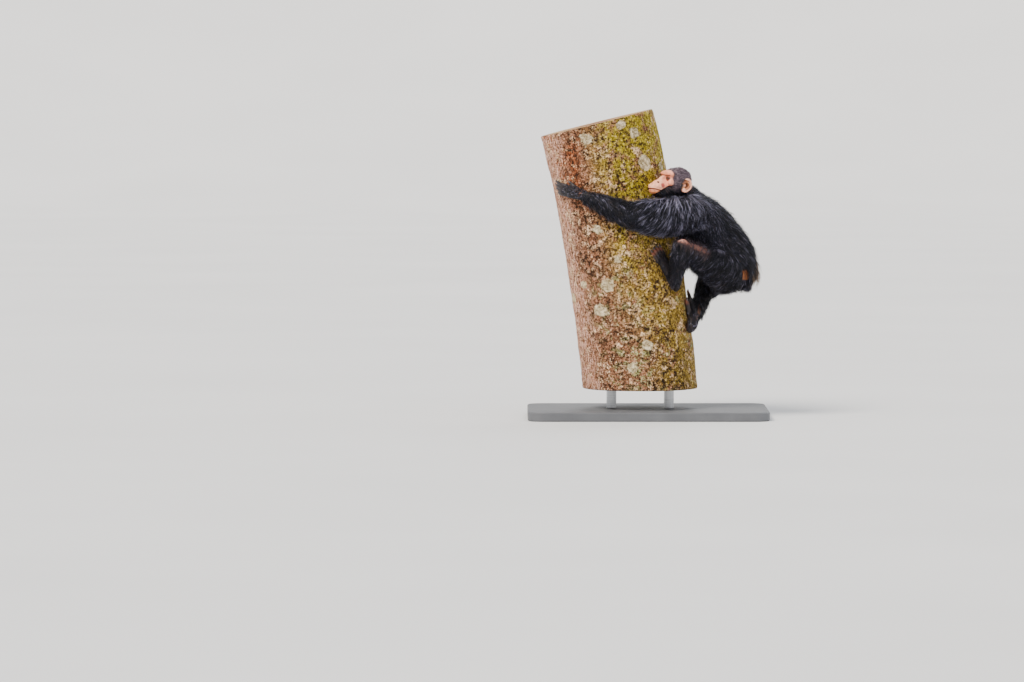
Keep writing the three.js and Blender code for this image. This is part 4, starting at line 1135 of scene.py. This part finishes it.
for top in (True, False):  # each cut is a set of rings and a fan at its middle
    rim = log[-n:] if top else log[:n]
    middle = rim.mean(0)
    previous = (m - 1) * n if top else 0
    for r in range(1, rings):
        inner = middle + (rim - middle) * (1 - r / rings)
        if top:
            inner = inner + np.array([0, 0, 0.3 * math.sin(r * 2.1)])
        capPoints.append(inner)
        grain.append(np.full(n, 1 - r / rings))
        i = np.arange(n)
        a, b, c, d = previous + i, previous + (i + 1) % n, start + (i + 1) % n, start + i
        strips = [np.stack([a, b, c], 1), np.stack([a, c, d], 1)]
        logFaces += strips if top else [s[:, ::-1] for s in strips]
        previous, start = start, start + n
    capPoints.append(middle[None])
    grain.append(np.zeros(1))
    fan = np.stack([previous + np.arange(n), previous + (np.arange(n) + 1) % n, np.full(n, start)], 1)
    logFaces.append(fan if top else fan[:, ::-1])
    start += 1
log = np.concatenate(capPoints)
logFaces = np.concatenate(logFaces)
trunkPiece = makeObject("barkTrunk", log, logFaces)
addAttribute(trunkPiece, "lichenDisc", np.concatenate([disc.ravel(), np.zeros(len(log) - n * m)]))
addAttribute(trunkPiece, "grain", np.concatenate(grain))
isWood = np.zeros(len(logFaces), np.int32)
isWood[2 * n * (m - 1):] = 1

# rough live bark, matt and pitted, with painted shade in its pits, under crusts of cream and grey-green lichen, with
# moss on its lighter side
barkMaterial, tree, where = newMaterial("lichenedBark")
upright = addNode(tree, "ShaderNodeMapping", None, {"Vector": where, "Scale": (1, 1, 0.3)})
place = addNode(tree, "ShaderNodeSeparateXYZ", None, {"Vector": where})
fields = {
    "height": place.outputs["Z"],
    "disc": addNode(tree, "ShaderNodeAttribute", {"attribute_name": "lichenDisc"}).outputs["Fac"],
    "aside": addNode(tree, "ShaderNodeMath", {"operation": "MULTIPLY_ADD"},
                     {0: place.outputs["Z"], 1: trunk["lean"], 2: place.outputs["X"]}).outputs[0],
}
fields["edge"] = addNode(tree, "ShaderNodeMath", {"operation": "ABSOLUTE"}, {0: fields["aside"]})
for name, (scale, detail, rough) in bark["fields"].items():
    fields[name] = addNode(tree, "ShaderNodeTexNoise", None, {
        "Vector": upright if name == "streak" else where, "Scale": scale, "Detail": detail, "Roughness": rough})
color = tuple(hexColor("#000000"))
for layer in barkLayers:
    share = 1.0
    for name, none, full in layer["over"]:
        part = addNode(tree, "ShaderNodeMapRange", {"interpolation_type": "SMOOTHSTEP"},
                       {"Value": fields[name], "From Min": none, "From Max": full})
        share = addNode(tree, "ShaderNodeMath", {"operation": "MULTIPLY"}, {0: share, 1: part})
    mottle = fields[layer.get("mottle", "fleck")]
    hue = addNode(tree, "ShaderNodeValToRGB", {"color_ramp": layer["hues"]}, {"Fac": mottle})
    color = addNode(tree, "ShaderNodeMix", {"data_type": "RGBA"}, {0: share, 6: color, 7: hue}).outputs[2]
pits = addNode(tree, "ShaderNodeBump", None, {"Height": fields["fleck"], "Strength": 0.7, "Distance": 0.005})
endMaterial(tree, {"Base Color": color, "Normal": pits, "Roughness": 0.92, "IOR": 1.45, "Specular IOR Level": 0.25})
trunkPiece.data.materials.append(barkMaterial)

# sawn end grain: pale dry wood, matt, a darker heart, rings about 9 mm apart and a dark rim of bark
woodMaterial, tree, where = newMaterial("sawnEndGrain")
fromPith = addNode(tree, "ShaderNodeAttribute", {"attribute_name": "grain"}).outputs["Fac"]
drift = addNode(tree, "ShaderNodeTexNoise", None, {"Vector": where, "Scale": 9, "Detail": 3})  # 110 mm waves
wavy = addNode(tree, "ShaderNodeMath", {"operation": "MULTIPLY_ADD"}, {0: drift, 1: 0.09, 2: fromPith})
ringWave = addNode(tree, "ShaderNodeMath", {"operation": "PINGPONG"}, {0: wavy, 1: 0.02})
ringTone = addNode(tree, "ShaderNodeMapRange", None, {"Value": ringWave, "From Max": 0.02})
wood = addNode(tree, "ShaderNodeValToRGB", {"color_ramp": [(0.0, "#765331"), (0.3, "#b58a5a"), (1.0, "#d8b988")]},
               {"Fac": ringTone})
heart = addNode(tree, "ShaderNodeValToRGB", {"color_ramp": [(0.2, "#a5764c"), (0.62, "#ffffff")]}, {"Fac": wavy})
fibres = addNode(tree, "ShaderNodeTexNoise", None, {"Vector": where, "Scale": 300, "Detail": 3})  # 3 mm, torn
torn = addNode(tree, "ShaderNodeValToRGB", {"color_ramp": [(0.3, "#b39a7c"), (0.6, "#ffffff")]}, {"Fac": fibres})
for shade in (heart, torn):
    wood = addNode(tree, "ShaderNodeMix", {"data_type": "RGBA", "blend_type": "MULTIPLY"},
                   {0: 1.0, 6: wood, 7: shade}).outputs[2]
rim = addNode(tree, "ShaderNodeMapRange", None, {"Value": fromPith, "From Min": 0.95, "From Max": 0.96})
wood = addNode(tree, "ShaderNodeMix", {"data_type": "RGBA"}, {0: rim, 6: wood, 7: tuple(hexColor("#4a3626"))})
saw = addNode(tree, "ShaderNodeBump", None, {"Height": ringTone, "Strength": 0.2, "Distance": 0.001})
endMaterial(tree, {"Base Color": wood.outputs[2], "Normal": saw, "Roughness": 0.8, "IOR": 1.45})
trunkPiece.data.materials.append(woodMaterial)
trunkPiece.data.polygons.foreach_set("material_index", isWood)
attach(trunkPiece, "root")
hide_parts("perch_trunk")
print("stage: trunk")

# stand: the source's own base and rods, finished
# powder-coated steel plate: satin grey with the fine orange peel of the baked powder
powder, tree, where = newMaterial("powderCoatedSteel")
clouds = addNode(tree, "ShaderNodeTexNoise", None, {"Vector": where, "Scale": 12, "Detail": 3})  # 80 mm clouds
coatColor = addNode(tree, "ShaderNodeValToRGB", {"color_ramp": [(0.3, "#55575b"), (0.7, "#5f6165")]}, {"Fac": clouds})
peel = addNode(tree, "ShaderNodeTexNoise", None, {"Vector": where, "Scale": 700, "Detail": 2})  # 1.4 mm peel
peelBump = addNode(tree, "ShaderNodeBump", None, {"Height": peel, "Strength": 0.25, "Distance": 0.0006})
endMaterial(tree, {"Base Color": coatColor, "Normal": peelBump, "Roughness": 0.5, "IOR": 1.5})
# brushed stainless steel: bright, with fine turned lines round the rod, drawn 1 mm apart to show
brushed, tree, where = newMaterial("brushedStainless")
lines = addNode(tree, "ShaderNodeMapping", None, {"Vector": where, "Scale": (0.5, 0.5, 30)})
turned = addNode(tree, "ShaderNodeTexNoise", None, {"Vector": lines, "Scale": 33, "Detail": 4})
steelColor = addNode(tree, "ShaderNodeValToRGB", {"color_ramp": [(0.3, "#9b9da0"), (0.7, "#c3c5c8")]},
                     {"Fac": turned})
scratch = addNode(tree, "ShaderNodeBump", None, {"Height": turned, "Strength": 0.15, "Distance": 0.0004})
endMaterial(tree, {"Base Color": steelColor, "Normal": scratch, "Metallic": 1.0, "Roughness": 0.34})
for name in frame["nodes"]:
    if name.startswith("stand_"):
        node = bpy.data.objects[name]
        node.data.materials.clear()
        node.data.materials.append(powder if name == "stand_base" else brushed)
print("stage: stand")

# plain round floor, wider than the camera stands, that rises gently at its edge, so no view shows an end to it
ground = {"flat": 26000, "reach": 38000, "high": 6000, "around": 128, "rings": 16}
turns = np.linspace(0, 2 * np.pi, ground["around"], endpoint=False)
floorPoints = [[0, 0, 0]]
floorFaces = [(0, 1 + i, 1 + (i + 1) % len(turns)) for i in range(len(turns))]
for ring, share in enumerate(np.linspace(0, 1, ground["rings"])):
    reach = ground["flat"] + (ground["reach"] - ground["flat"]) * share
    floorPoints += [[reach * math.cos(a), reach * math.sin(a), ground["high"] * share ** 2] for a in turns]
    start = 1 + ring * len(turns)
    for i in range(len(turns) * (ring + 1 < ground["rings"])):
        a, b = start + i, start + (i + 1) % len(turns)
        floorFaces += [(a, a + len(turns), b + len(turns)), (a, b + len(turns), b)]
floor = makeObject("floor", np.array(floorPoints), np.array(floorFaces))
# matt studio paper: pale, with no sheen and only a faint unevenness
paper, tree, where = newMaterial("studioPaper")
fibre = addNode(tree, "ShaderNodeTexNoise", None, {"Vector": where, "Scale": 0.6, "Detail": 2})  # very broad clouds
paperColor = addNode(tree, "ShaderNodeValToRGB", {"color_ramp": [(0.3, "#d9dadb"), (0.7, "#dedfe0")]},
                     {"Fac": fibre})
endMaterial(tree, {"Base Color": paperColor, "Roughness": 0.9})
floor.data.materials.append(paper)

bpy.context.view_layer.update()
